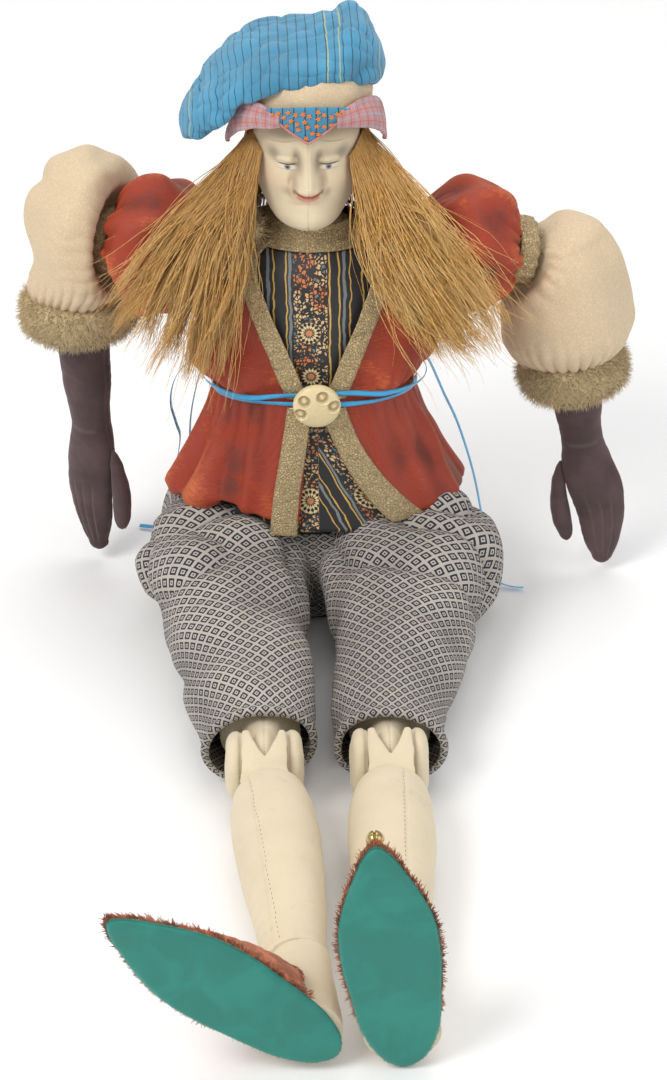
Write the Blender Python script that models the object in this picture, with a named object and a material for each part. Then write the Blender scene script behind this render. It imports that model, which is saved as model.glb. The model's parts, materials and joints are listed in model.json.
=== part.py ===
"""Seated cloth art doll: stuffed body, jointed arms and legs, velvet clothes and a floppy hat.

The doll faces -Y and sits with its legs stretched forward. Lengths below are millimetres and
become metres when a mesh is made. Left and right are the doll's own, so left is +X.
Rings of points are lofted into closed solids. Every piece hangs from an empty on its joint.
"""
import math

import bmesh
import bpy
from mathutils import Vector

MM = 0.001
GAP = 0.3                     # clearance between pieces that touch
LAYER_GAP = 0.8               # room between layers of cloth, whose facets don't line up
UP = Vector((0, 0, 1))
FORWARD = Vector((0, -1, 0))
SIDEWAYS = Vector((1, 0, 0))

# Stuffed trunk: height, centre y, half width, half depth
SEAT_BLOCK = [(0, 36, 68, 17), (5, 36, 74, 20), (50, 36, 74, 20)]
TRUNK = [(58, 4, 82, 46), (76, 2, 70, 46), (100, 0, 60, 45), (128, 0, 56, 44), (156, 0, 54, 43),
         (190, 0, 55, 42), (220, 0, 56, 39), (240, 2, 52, 34), (250, 3, 42, 27)]
TRUNK_TOP = [(256, 4, 22, 20), (258, 4, 20, 18)]
TUNIC_CLOTH = 2.0             # layer thicknesses from the trunk outward
JACKET_CLOTH = 3.0
TRIM_CLOTH = 1.4
WAIST_HEIGHT = 158
BELT_HALF_HEIGHT = 1.6
BELT_THICKNESS = 0.8
BUTTON_HEIGHT = 163
NECK_PIVOT = (0, 4, 258)
HEAD_AXIS_Y = -6              # the hat and the hair wrap round this line

# Arms
SHOULDER_X = 76
SHOULDER_HEIGHT = 243
UPPER_ARM_LENGTH = 77.5
FOREARM_LENGTH = 226
ARM_RADIUS = 13
ELBOW_CLEARANCE = 14
CAP_END = 22                  # where the shoulder cap meets the upper arm
BAND_START, BAND_END, BAND_RADIUS = 46, 58, 20
CUFF_HALF_HEIGHT = 13
CUT_PAST_CUFF = 20            # how far the hollow in the sleeve runs past the cuff

# Legs
HIP = (50, -10, 27)
KNEE = (36, -234, 27)
THIGH_RADIUS = 24
KNEE_RADIUS = 22
KNEE_HALF_WIDTH = 10.5
DISC_RADIUS = 20
DISC_THICKNESS = 12
FOOT_START_Y = -400
SOLE_TOP_Y = -453
SOLE_THICKNESS = 4
HEEL_BACK = 22                # from the ankle axis to the heel's edge
SOLE_LENGTH = 145
SOLE_HALF_WIDTH = 25
TOE_CAP_START = 19

# The two sides differ as the doll sits: sleeves slide and feet turn out by different amounts
SIDES = {
    "left": {
        "sign": 1,
        "upper_arm": (74, 12, -15),
        "forearm": (35, -9, -223),
        "hand_width": (1.0, 0.0, 0.0),
        "cuff": 79,
        "cuff_radius": 36,
        "puff": [(-22, 9), (-17, 22), (0, 34), (20, 39), (40, 42), (54, 42), (65, 33)],
        "puff_shift": 0,
        "ankle": (31, -415, 24),
        "toe": (-0.117, 0.0, 0.993),
    },
    "right": {
        "sign": -1,
        "upper_arm": (-72, 30, -8),
        "forearm": (9, -6, -229),
        "hand_width": (-0.8, 0.6, 0.0),
        "cuff": 48,
        "cuff_radius": 39,
        "puff": [(-56, 10), (-50, 25), (-36, 38), (-18, 45), (2, 45), (20, 39), (34, 31)],
        "puff_shift": 16,
        "ankle": (-20, -415, 24.5),
        "toe": (-0.773, 0.0, 0.635),
    },
}

RIBBON_RADIUS = 1.3
RIBBON_TAILS = {
    "ribbon_tail_left": [
        (69, 18, 154), (74, 26, 146), (84, 30, 120), (94, 30, 96), (104, 22, 64), (110, 8, 34),
        (113, -6, 14), (115, -14, 7), (121, -17, 3.4), (128, -19, 2.0), (135, -20, 2.0)],
    "ribbon_tail_right": [
        (-69, 18, 154), (-80, 24, 148), (-88, 28, 134), (-91, 30, 117), (-88, 32, 100),
        (-86, 40, 84), (-90, 48, 56), (-95, 52, 28), (-99, 56, 10), (-106, 60, 3.0), (-116, 63, 2.0)],
    "ribbon_loop_right": [
        (-66, 24, 152), (-71, 30, 140), (-76, 35, 118), (-79, 42, 96), (-80, 50, 72), (-80, 55, 50)],
}
RIBBON_BEAD = ((115, -14, 7), (8, -11, -10.6))     # place on its ribbon, and the way it points

COLOURS = {                   # base colour, roughness, metallic
    "body_cloth": ((0.80, 0.72, 0.58), 0.85, 0.0),
    "face_cloth": ((0.84, 0.76, 0.64), 0.75, 0.0),
    "tunic_silk": ((0.05, 0.045, 0.04), 0.45, 0.0),
    "rust_velvet": ((0.48, 0.10, 0.04), 0.70, 0.0),
    "gold_trim": ((0.42, 0.33, 0.20), 0.45, 0.4),
    "cream_print": ((0.78, 0.68, 0.54), 0.80, 0.0),
    "fur": ((0.46, 0.36, 0.21), 0.90, 0.0),
    "glove_suede": ((0.09, 0.055, 0.06), 0.85, 0.0),
    "blue_stripe": ((0.10, 0.42, 0.58), 0.75, 0.0),
    "pink_plaid": ((0.55, 0.30, 0.30), 0.80, 0.0),
    "badge_stitch": ((0.10, 0.30, 0.45), 0.75, 0.0),
    "mohair": ((0.62, 0.36, 0.13), 0.60, 0.0),
    "blue_ribbon": ((0.07, 0.36, 0.62), 0.35, 0.0),
    "button_horn": ((0.72, 0.62, 0.40), 0.30, 0.0),
    "diamond_weave": ((0.32, 0.31, 0.31), 0.85, 0.0),
    "teal_velvet": ((0.02, 0.25, 0.21), 0.75, 0.0),
    "shoe_velvet": ((0.42, 0.15, 0.08), 0.75, 0.0),
    "brass": ((0.45, 0.36, 0.18), 0.35, 1.0),
}


# ---------------------------------------------------------------- meshes

def clear_scene():
    for thing in list(bpy.data.objects):
        bpy.data.objects.remove(thing, do_unlink=True)


def material(name):
    found = bpy.data.materials.get(name)
    if found:
        return found
    colour, roughness, metallic = COLOURS[name]
    made = bpy.data.materials.new(name)
    made.use_nodes = True
    shader = made.node_tree.nodes["Principled BSDF"]
    shader.inputs["Base Color"].default_value = (*colour, 1.0)
    shader.inputs["Roughness"].default_value = roughness
    shader.inputs["Metallic"].default_value = metallic
    return made


def pivot(name, place, parent=None):
    """An empty on a joint's axis, at a place in the doll's own frame."""
    empty = bpy.data.objects.new(name, None)
    empty.empty_display_size = 20 * MM
    empty["place"] = [float(part) for part in place]
    start = Vector((0, 0, 0))
    if parent:
        start = Vector(parent["place"])
        empty.parent = parent
    empty.location = (Vector(place) - start) * MM
    bpy.context.collection.objects.link(empty)
    return empty


def finish(name, points, faces, parent, colour):
    """Make one named closed solid that hangs from its joint's empty."""
    origin = Vector(parent["place"])
    mesh = bpy.data.meshes.new(name)
    mesh.from_pydata([(Vector(point) - origin) * MM for point in points], [], faces)
    editor = bmesh.new()
    editor.from_mesh(mesh)
    bmesh.ops.recalc_face_normals(editor, faces=editor.faces)
    editor.to_mesh(mesh)
    editor.free()
    piece = bpy.data.objects.new(name, mesh)
    piece.parent = parent
    mesh.materials.append(material(colour))
    bpy.context.collection.objects.link(piece)
    return piece


def ring(centre, across, along, half_across, half_along, count=16):
    """Points of an ellipse in the plane of two axes."""
    points = []
    for step in range(count):
        turn = math.tau * step / count
        points.append(Vector(centre) + Vector(across) * (half_across * math.cos(turn))
                      + Vector(along) * (half_along * math.sin(turn)))
    return points


def loft_faces(rings, first=0):
    """Quads between following rings of equal length."""
    count = len(rings[0])
    faces = []
    for level in range(len(rings) - 1):
        low = first + level * count
        high = low + count
        for step in range(count):
            after = (step + 1) % count
            faces.append((low + step, low + after, high + after, high + step))
    return faces


def loft(name, rings, parent, colour):
    """A solid skin over the rings, with flat ends."""
    count = len(rings[0])
    points = [point for level in rings for point in level]
    faces = loft_faces(rings)
    faces.append(tuple(range(count)))
    faces.append(tuple(len(points) - count + step for step in range(count)))
    return finish(name, points, faces, parent, colour)


def hollow_loft(name, outer, inner, parent, colour):
    """A wall between outer and inner rings, open at both ends."""
    count = len(outer[0])
    points = [point for level in outer + inner for point in level]
    shift = len(outer) * count
    faces = loft_faces(outer) + loft_faces(inner, first=shift)
    for level in (0, len(outer) - 1):
        start = level * count
        inside = shift + (0 if level == 0 else (len(inner) - 1) * count)
        for step in range(count):
            after = (step + 1) % count
            faces.append((start + step, start + after, inside + after, inside + step))
    return finish(name, points, faces, parent, colour)


def wrap(name, levels, parent, colour, count=14):
    """A curved sheet with thickness. A level is height, centre y, half width, half depth,
    thickness, start angle, end angle and, if it tilts, how much its front rises. Angles are
    degrees from the front, growing towards the doll's left."""
    rings = []
    for height, middle, wide, deep, thick, start, end, *tilt in levels:
        rise = tilt[0] if tilt else 0
        outside, inside = [], []
        for step in range(count):
            turn = math.radians(start + (end - start) * step / (count - 1))
            level = height + rise * math.cos(turn)
            outside.append(Vector(((wide + thick) * math.sin(turn),
                                   middle - (deep + thick) * math.cos(turn), level)))
            inside.append(Vector((wide * math.sin(turn), middle - deep * math.cos(turn), level)))
        rings.append(outside + inside[::-1])
    return loft(name, rings, parent, colour)


def axes_of(direction, near):
    """Two unit axes across a direction, the first as near as possible to the given one."""
    along = Vector(direction).normalized()
    across = (Vector(near) - along * along.dot(Vector(near))).normalized()
    return across, along.cross(across)


def rod(start, direction, profile, near=UP, count=16):
    """Rings along a line. A profile entry is distance and radius, or distance and two radii."""
    across, beside = axes_of(direction, near)
    along = Vector(direction).normalized()
    rings = []
    for distance, half, *other in profile:
        rings.append(ring(Vector(start) + along * distance, across, beside, half,
                          other[0] if other else half, count))
    return rings


def ball_end(radius):
    """Profile of a half ball that ends a rod at distance zero."""
    turns = (76, 52, 28)
    return [(-radius * math.sin(math.radians(turn)), radius * math.cos(math.radians(turn)))
            for turn in turns]


def trunk_size(height):
    """Centre y, half width and half depth of the trunk at a height, between its levels."""
    for low, high in zip(TRUNK, TRUNK[1:]):
        if low[0] <= height <= high[0]:
            part = (height - low[0]) / (high[0] - low[0])
            return [a + (b - a) * part for a, b in zip(low[1:], high[1:])]
    raise ValueError(f"the trunk has no level at {height}")


# ---------------------------------------------------------------- trunk and clothes

def trunk_ring(level, count=24):
    height, middle, wide, deep = level
    return ring((0, middle, height), SIDEWAYS, FORWARD, wide, deep, count)


def make_trunk(body):
    loft("torso_body", [trunk_ring(level) for level in SEAT_BLOCK + TRUNK + TRUNK_TOP], body,
         "body_cloth")
    seat = []
    for height, wide, deep in ((2.5, 88, 56), (12, 96, 60), (45, 97, 60), (66, 92, 58), (74, 88, 55)):
        seat.append((height, 8, wide, deep, 2.6, 70, 290))
    wrap("trouser_seat", seat, body, "diamond_weave", count=20)


def layer(height, offset, thick, start, end):
    """One level of a garment that lies a given distance outside the trunk."""
    middle, wide, deep = trunk_size(height)
    return (height, middle, wide + offset, deep + offset, thick, start, end)


def peplum_level(height, offset, thick, start, end):
    """The skirt of the jacket flares from the waist to the hem."""
    fall = ((WAIST_HEIGHT - height) / (WAIST_HEIGHT - 80)) ** 1.6
    middle, wide, deep = trunk_size(WAIST_HEIGHT)
    inside = TUNIC_CLOTH + 2 * LAYER_GAP
    return (height, middle - 1 * fall, wide + inside + 26 * fall + offset,
            deep + inside + 12 * fall + offset, thick, start, end)


def make_tunic(body):
    levels = [layer(height, LAYER_GAP, TUNIC_CLOTH, -52, 52) for height in (82, 100, 128, 156, 190, 220)]
    levels += [layer(height, LAYER_GAP, TUNIC_CLOTH, -46, 46) for height in (240, 249)]
    wrap("tunic_front", levels, body, "tunic_silk")
    collar_inner = [ring((0, 4, height), SIDEWAYS, FORWARD, 24.5, 22.5) for height in (256.6, 265)]
    collar_outer = [ring((0, 4, height), SIDEWAYS, FORWARD, 27, 25) for height in (256.6, 265)]
    hollow_loft("tunic_collar", collar_outer, collar_inner, body, "gold_trim")


def make_jacket(body):
    inside = TUNIC_CLOTH + 2 * LAYER_GAP
    bodice = []
    for height, edge in ((WAIST_HEIGHT + 1, 8), (175, 14), (190, 20), (220, 32), (240, 41), (249, 46)):
        bodice.append(layer(height, inside, JACKET_CLOTH, edge, 360 - edge))
    wrap("jacket_bodice", bodice, body, "rust_velvet", count=32)
    peplum = []
    for height, left_edge, right_edge in ((80, 31, 8), (100, 24, 7), (128, 14, 6), (157, 7, 6)):
        peplum.append(peplum_level(height, 0, JACKET_CLOTH, left_edge, 360 - right_edge))
    wrap("jacket_peplum", peplum, body, "rust_velvet", count=32)


def make_trims(body):
    outside = TUNIC_CLOTH + JACKET_CLOTH + 3 * LAYER_GAP
    for side, sign in (("left", 1), ("right", -1)):
        levels = []
        for height, edge in ((171, 9), (190, 16), (220, 28), (240, 37), (249, 42)):
            far = edge + 19
            levels.append(layer(height, outside, TRIM_CLOTH, sign * edge, sign * far))
        wrap(f"trim_upper_{side}", levels, body, "gold_trim", count=5)
    lower = {"left": ((82, 31, 49), (100, 24, 43), (128, 14, 34), (150, 8, 29)),
             "right": ((82, -8, -24), (100, -7, -24), (128, -6, -25), (150, -6, -27))}
    for side, levels in lower.items():
        wrap(f"trim_lower_{side}",
             [peplum_level(height, JACKET_CLOTH + LAYER_GAP, TRIM_CLOTH, start, end)
              for height, start, end in levels], body, "gold_trim", count=5)


def make_belt(body):
    """Two ribbon strands round the waist, higher in front, and the round button over them."""
    middle, wide, deep = trunk_size(WAIST_HEIGHT)
    offset = TUNIC_CLOTH + JACKET_CLOTH + TRIM_CLOTH + 4 * LAYER_GAP
    for name, height, rise in (("belt_ribbon_upper", 159, 11), ("belt_ribbon_lower", 152, 8)):
        outer, inner = [], []
        for edge in (-BELT_HALF_HEIGHT, BELT_HALF_HEIGHT):
            for rings, extra in ((outer, BELT_THICKNESS), (inner, 0.0)):
                points = []
                for point in ring((0, middle, height + edge), SIDEWAYS, FORWARD,
                                  wide + offset + extra, deep + offset + extra, 28):
                    front = (middle - point.y) / (deep + offset + extra)
                    points.append(point + UP * (rise * front))
                rings.append(points)
        hollow_loft(name, outer, inner, body, "blue_ribbon")
    button_back = Vector((0, middle - deep - offset - BELT_THICKNESS - GAP, BUTTON_HEIGHT))
    loft("belt_button", rod(button_back, FORWARD, [(0, 13), (1.5, 14.5), (5, 14), (7, 11)], count=24),
         body, "button_horn")


def make_fur_collar(body):
    route = [(34, -22, 263), (43, -8, 265), (45, 10, 267), (36, 30, 271), (18, 41, 274), (0, 44, 275)]
    route += [(-x, y, z) for x, y, z in route[-2::-1]]
    radii = [6, 10, 11, 11, 11, 11]
    radii += radii[-2::-1]
    rings = []
    for place, point in enumerate(route):
        before = Vector(route[max(place - 1, 0)])
        after = Vector(route[min(place + 1, len(route) - 1)])
        across, beside = axes_of(after - before, UP)
        rings.append(ring(point, across, beside, radii[place], radii[place] * 0.8, 10))
    loft("fur_collar", rings, body, "fur")


def make_ribbon_tails(body):
    """The free ends of the belt, as round cords of the ribbon's thickness."""
    origin = Vector(body["place"])
    for name, route in RIBBON_TAILS.items():
        curve = bpy.data.curves.new(name, "CURVE")
        curve.dimensions = "3D"
        curve.bevel_depth = RIBBON_RADIUS * MM
        curve.bevel_resolution = 2
        curve.use_fill_caps = True
        line = curve.splines.new("POLY")
        points = smooth_route([Vector(point) for point in route])
        line.points.add(len(points) - 1)
        for spot, point in zip(line.points, points):
            spot.co = (*((point - origin) * MM), 1.0)
        curve.materials.append(material("blue_ribbon"))
        piece = bpy.data.objects.new(name, curve)
        piece.parent = body
        bpy.context.collection.objects.link(piece)
    place, direction = RIBBON_BEAD
    outer = rod(place, direction, [(-2.4, 3.4), (-1, 4.2), (1, 4.2), (2.4, 3.4)], count=12)
    inner = rod(place, direction, [(distance, 2.4) for distance in (-2.4, -1, 1, 2.4)], count=12)
    hollow_loft("ribbon_bead", outer, inner, body, "button_horn")


def smooth_route(corners, parts=3):
    """Catmull-Rom points through hand-placed corners."""
    ends = [corners[0] * 2 - corners[1]] + corners + [corners[-1] * 2 - corners[-2]]
    points = []
    for before, start, end, after in zip(ends, ends[1:], ends[2:], ends[3:]):
        for step in range(parts):
            t = step / parts
            points.append(0.5 * (2 * start + (end - before) * t
                                 + (2 * before - 5 * start + 4 * end - after) * t ** 2
                                 + (3 * start - before - 3 * end + after) * t ** 3))
    points.append(corners[-1])
    return points


# ---------------------------------------------------------------- head and hat

def make_head(head):
    """Neck, face and skull in one stuffed piece."""
    levels = [(258.3, 4, 12, 12), (266, 4, 13, 13), (269, -10, 17, 26), (276, -11, 23, 29),
              (286, -9, 28, 32), (300, -8, 30, 34), (316, -7, 31, 36), (330, -6, 30, 35), (338, -5, 26, 30)]
    loft("head", [ring((0, middle, height), SIDEWAYS, FORWARD, wide, deep, 20)
                  for height, middle, wide, deep in levels], head, "face_cloth")


def hat_level(height, offset, thick, start, end):
    return (height, HEAD_AXIS_Y, 32 + offset, 37 + offset, thick, start, end)


def make_hat(head):
    crown = [(-80, 324, 8, 5), (-75, 326, 22, 9), (-63, 335, 34, 15), (-50, 344, 42, 18),
             (-45.6, 354.4, 43, 12.5), (-40.6, 356, 44, 13.5), (-40.0, 364.5, 45, 9.6), (-20, 366, 46, 11), (0, 368, 45, 13),
             (20, 374, 38, 18), (34, 371, 28, 15), (42, 365, 18, 9), (45, 363, 8, 4)]
    loft("hat_crown", [ring((x, 2, height), FORWARD, UP, deep, tall, 20)
                       for x, height, deep, tall in crown], head, "blue_stripe")
    band_outer = [ring((0, HEAD_AXIS_Y, height), SIDEWAYS, FORWARD, wide, wide + 5, 20)
                  for height, wide in ((327, 39), (345, 39), (354.4, 36))]
    band_inner = [ring((0, HEAD_AXIS_Y, height), SIDEWAYS, FORWARD, 32, 37, 20)
                  for height in (327, 345, 354.4)]
    hollow_loft("hat_band", band_outer, band_inner, head, "cream_print")
    outside = 7 + GAP
    for side, sign in (("left", 1), ("right", -1)):
        levels = [hat_level(316, outside + 3, 2, sign * 25, sign * 104),
                  hat_level(328, outside + 1, 4, sign * 25, sign * 104),
                  hat_level(340, outside, 3, sign * 25, sign * 104)]
        wrap(f"hat_brim_{side}", levels, head, "pink_plaid", count=8)
    badge = [hat_level(height, outside + 0.5, 2.5, -wide, wide) for height, wide in ((327, 8), (334, 24), (344, 24))]
    wrap("hat_badge", badge, head, "badge_stitch", count=7)


def make_hair(head):
    for side, sign in (("left", 1), ("right", -1)):
        fall = [((37, -22, 309), 8, 2.5), ((42, -36, 292), 14, 3), ((52, -50, 266), 18, 3.5),
                ((74, -60, 236), 22, 3.5), ((97, -58, 206), 20, 3)]
        rings = []
        for place, (point, half_width, half_thick) in enumerate(fall):
            before = Vector(fall[max(place - 1, 0)][0])
            after = Vector(fall[min(place + 1, len(fall) - 1)][0])
            across, beside = axes_of(after - before, (1, 0, 0.4))
            flip = Vector((sign, 1, 1))
            rings.append(ring(Vector(point) * flip, across * flip, beside * flip, half_width, half_thick, 12))
        loft(f"hair_{side}", rings, head, "mohair")
    back = [hat_level(height, 1.5, 5, 112, 248) for height in (292, 308, 325)]
    wrap("hair_back", back, head, "mohair", count=10)


# ---------------------------------------------------------------- arms

def make_arm(side, body):
    shape = SIDES[side]
    shoulder = Vector((SHOULDER_X * shape["sign"], 0, SHOULDER_HEIGHT))
    out = Vector(shape["upper_arm"]).normalized()
    down = Vector(shape["forearm"]).normalized()
    elbow = shoulder + out * UPPER_ARM_LENGTH
    lift = pivot(f"shoulder_lift_{side}", shoulder, body)
    swing = pivot(f"shoulder_swing_{side}", shoulder, lift)
    bend = pivot(f"elbow_{side}", elbow, swing)

    loft(f"shoulder_cap_{side}", rod(shoulder, out, ball_end(ARM_RADIUS)
         + [(0, ARM_RADIUS), (CAP_END, ARM_RADIUS)], count=14), lift, "body_cloth")
    puff = [(-7, 22), (0, 34), (10, 41), (20, 43), (32, 40), (40, 32), (BAND_START - GAP, 21)]
    hole = [(distance, ARM_RADIUS + 2 * GAP) for distance, _ in puff]
    hollow_loft(f"sleeve_puff_{side}", rod(shoulder, out, puff), rod(shoulder, out, hole), lift, "rust_velvet")
    loft(f"upper_arm_{side}", rod(shoulder, out, [
        (CAP_END + GAP, ARM_RADIUS), (54, ARM_RADIUS), (57, 12), (UPPER_ARM_LENGTH - ELBOW_CLEARANCE, 8.5)],
        count=14), swing, "body_cloth")
    band = (BAND_START, BAND_END)
    hollow_loft(f"sleeve_band_{side}", rod(shoulder, out, [(d, BAND_RADIUS) for d in band]),
                rod(shoulder, out, [(d, ARM_RADIUS + 2 * GAP) for d in band]), swing, "gold_trim")
    make_lower_sleeve(side, shape, shoulder, out, elbow, down, swing)
    make_glove(side, shape, elbow, down, bend)


def cutter(name, rings, parent):
    """A closed tool for a Boolean cut, not part of the doll."""
    tool = loft(name, rings, parent, "body_cloth")
    tool.hide_render = True
    tool.display_type = "WIRE"
    return tool


def make_lower_sleeve(side, shape, shoulder, out, elbow, down, swing):
    """A full sleeve gathered from the band to the fur cuff, with room for the bent arm."""
    shift = Vector((-shape["sign"] * shape["puff_shift"], 0, 0))
    sleeve = loft(f"sleeve_lower_{side}", rod(elbow + shift, down, shape["puff"], count=20), swing,
                  "cream_print")
    room = 2 * GAP
    tools = [
        cutter(f"cut_upper_arm_{side}", rod(shoulder, out, [
            (BAND_START, ARM_RADIUS + room), (UPPER_ARM_LENGTH, ARM_RADIUS + room)], count=14), swing),
        cutter(f"cut_forearm_{side}", rod(elbow, down, ball_end(ARM_RADIUS + room) + [
            (0, ARM_RADIUS + room), (30, 16 + room), (shape["cuff"] + CUT_PAST_CUFF, 19)], count=14), swing),
        cutter(f"cut_band_side_{side}", rod(shoulder, out, [(-60, 90), (BAND_END + GAP, 90)], count=8), swing),
    ]
    for tool in tools:
        cut = sleeve.modifiers.new(tool.name, "BOOLEAN")
        cut.operation = "DIFFERENCE"
        cut.object = tool


def make_glove(side, shape, elbow, down, bend):
    """Forearm and mitten hand in one stuffed glove, the thumb, and the fur cuff over it."""
    width = Vector(shape["hand_width"])
    across, beside = axes_of(down, width)
    toward_thumb = -across
    profile = [(distance, radius, radius, 0) for distance, radius in ball_end(ARM_RADIUS)]
    profile += [(0, ARM_RADIUS, ARM_RADIUS, 0), (30, 15.5, 14.5, 0), (60, 17, 14.5, 0), (100, 16, 13.5, 0),
                (130, 13.5, 11.5, 0), (146, 16, 10.5, -1), (166, 17.5, 9.5, -4), (186, 15, 8.5, -6),
                (206, 12, 7, -5), (219, 7, 5, -4), (FOREARM_LENGTH, 3, 3, -3)]
    rings = []
    for distance, half, thick, aside in profile:
        centre = elbow + down * distance + toward_thumb * aside
        rings.append(ring(centre, across, beside, half, thick, 16))
    loft(f"glove_{side}", rings, bend, "glove_suede")
    thumb = [(150, 17.4, 1.6, 2.5), (162, 18.4, 3.8, 5), (176, 19.4, 5.6, 6), (192, 19.2, 5.8, 5.5),
             (203, 18.3, 3, 3.5)]
    rings = []
    for distance, aside, half, thick in thumb:
        rings.append(ring(elbow + down * distance + toward_thumb * aside, across, beside, half, thick, 12))
    loft(f"thumb_{side}", rings, bend, "glove_suede")
    middle, radius = shape["cuff"], shape["cuff_radius"]
    heights = (-CUFF_HALF_HEIGHT, -5, 5, CUFF_HALF_HEIGHT)
    outer = [(middle + height, radius * part) for height, part in zip(heights, (0.88, 1, 1, 0.86))]
    inner = [(middle + height, 18.5) for height in heights]
    hollow_loft(f"fur_cuff_{side}", rod(elbow, down, outer), rod(elbow, down, inner), bend, "fur")


# ---------------------------------------------------------------- legs

def make_leg(side, body):
    shape = SIDES[side]
    flip = Vector((shape["sign"], 1, 1))
    hip_place = Vector(HIP) * flip
    knee_place = Vector(KNEE) * flip
    ankle_place = Vector(shape["ankle"])
    hip = pivot(f"hip_{side}", hip_place, body)
    knee = pivot(f"knee_{side}", knee_place, hip)
    ankle = pivot(f"ankle_{side}", ankle_place, knee)
    make_thigh(side, hip_place, knee_place, hip)
    make_trouser_leg(side, shape["sign"], hip_place, knee_place, hip)
    make_shin(side, shape["sign"], knee_place, ankle_place, knee)
    make_foot(side, shape, ankle_place, ankle)
    return ankle


def make_thigh(side, hip_place, knee_place, hip):
    """A stuffed tube that narrows to the round centre lobe of the knee."""
    along = knee_place - hip_place
    length = along.length
    neck = length - KNEE_RADIUS - 6
    rings = rod(hip_place, along, ball_end(THIGH_RADIUS) + [(0, THIGH_RADIUS), (neck, THIGH_RADIUS)])
    rings.append(ring(knee_place - FORWARD * (KNEE_RADIUS + 1), UP, -SIDEWAYS, KNEE_RADIUS * 0.7,
                      KNEE_HALF_WIDTH))
    for turn in (-20, 5, 30, 55, 78):
        back = KNEE_RADIUS * math.sin(math.radians(turn))
        tall = KNEE_RADIUS * math.cos(math.radians(turn))
        rings.append(ring(knee_place + FORWARD * back, UP, -SIDEWAYS, tall, KNEE_HALF_WIDTH))
    loft(f"thigh_{side}", rings, hip, "body_cloth")


def make_trouser_leg(side, sign, hip_place, knee_place, hip):
    """Wide trousers from the hip to the hem at the knee, round the thigh."""
    outer, inner = [], []
    for y, x, z, wide, tall in ((-16, 53, 27, 35, 25.6), (-40, 53, 28, 41, 26.4), (-52, 53, 33, 43, 31.6),
                                (-70, 52, 37, 43, 35.6), (-110, 48, 36, 41, 34.6), (-150, 45, 34, 38, 32.6),
                                (-190, 41, 32, 34, 31), (-212, 37, 31, 29, 28)):
        part = (y - hip_place.y) / (knee_place.y - hip_place.y)
        core = hip_place + (knee_place - hip_place) * part
        room = THIGH_RADIUS + 2 * GAP
        lift = max(0.0, room + 0.5 - (tall - abs(z - core.z)))
        outer.append(ring((x * sign, y, z), SIDEWAYS, UP, wide, tall + lift, 18))
        inner.append(ring((core.x, y, core.z), SIDEWAYS, UP, room, room, 18))
    hollow_loft(f"trouser_leg_{side}", outer, inner, hip, "diamond_weave")


def make_shin(side, shape_sign, knee_place, ankle_place, knee):
    """Lower leg, and the two stuffed discs that clasp the knee lobe."""
    along = ankle_place - knee_place
    length = (knee_place.y - FOOT_START_Y) / -along.normalized().y
    profile = [(KNEE_RADIUS + 1.5, 17), (34, 22), (60, 24.5), (100, 23), (140, 19), (165, 17)]
    rings = [ring(knee_place + along.normalized() * distance, UP, SIDEWAYS, radius, radius)
             for distance, radius in profile]
    rings.append(ring(knee_place + along.normalized() * length, UP, SIDEWAYS, 16, 16))
    loft(f"shin_{side}", rings, knee, "body_cloth")
    for place, sign in (("outer", shape_sign), ("inner", -shape_sign)):
        start = knee_place + SIDEWAYS * (sign * (KNEE_HALF_WIDTH + GAP))
        loft(f"knee_disc_{place}_{side}", rod(start, SIDEWAYS * sign, [
            (0, DISC_RADIUS - 3), (3, DISC_RADIUS), (DISC_THICKNESS - 4, DISC_RADIUS),
            (DISC_THICKNESS, DISC_RADIUS - 6)], count=18), knee, "body_cloth")


def sole_outline(long_axis, wide_axis, ankle_place, y):
    """Round heel, broad ball and pointed toe."""
    stations = [(-1.0, 0.0), (-0.94, 0.36), (-0.8, 0.62), (-0.6, 0.8), (-0.3, 0.9), (0.0, 0.98),
                (0.3, 0.94), (0.55, 0.74), (0.78, 0.46), (0.92, 0.26), (1.0, 0.0)]
    middle = SOLE_LENGTH / 2 - HEEL_BACK
    points = []
    for sign, order in ((1, stations[:-1]), (-1, stations[:0:-1])):
        for part, width in order:
            spot = ankle_place + long_axis * (middle + part * SOLE_LENGTH / 2)
            spot = spot + wide_axis * (sign * width * SOLE_HALF_WIDTH)
            points.append(Vector((spot.x, y, spot.z)))
    return points


def make_foot(side, shape, ankle_place, ankle):
    """Stuffed foot, velvet toe cap and the flat velvet sole."""
    toe = Vector(shape["toe"]).normalized()
    wide = FORWARD.cross(toe)
    levels = [(FOOT_START_Y - GAP, 0, 16, 16), (-415, 0, 17, 17), (-430, -1, 18, 19),
              (SOLE_TOP_Y + GAP, -2, 18.5, 20)]
    rings = []
    for y, forward, half_long, half_wide in levels:
        centre = ankle_place + toe * forward
        rings.append(ring((centre.x, y, centre.z), toe, wide, half_long, half_wide, 18))
    loft(f"foot_{side}", rings, ankle, "body_cloth")
    rings = []
    for distance, half_wide, tall in ((TOE_CAP_START, 21, 30), (36, 23, 27), (60, 22, 21), (85, 15, 14),
                                      (104, 8, 9), (117, 3, 5)):
        centre = ankle_place + toe * distance
        bottom = SOLE_TOP_Y + GAP
        rings.append(ring((centre.x, bottom + tall / 2, centre.z), wide, FORWARD, half_wide, tall / 2, 14))
    loft(f"shoe_upper_{side}", rings, ankle, "shoe_velvet")
    loft(f"shoe_sole_{side}", [sole_outline(toe, wide, ankle_place, SOLE_TOP_Y - depth)
                               for depth in (0, SOLE_THICKNESS)], ankle, "teal_velvet")


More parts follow.
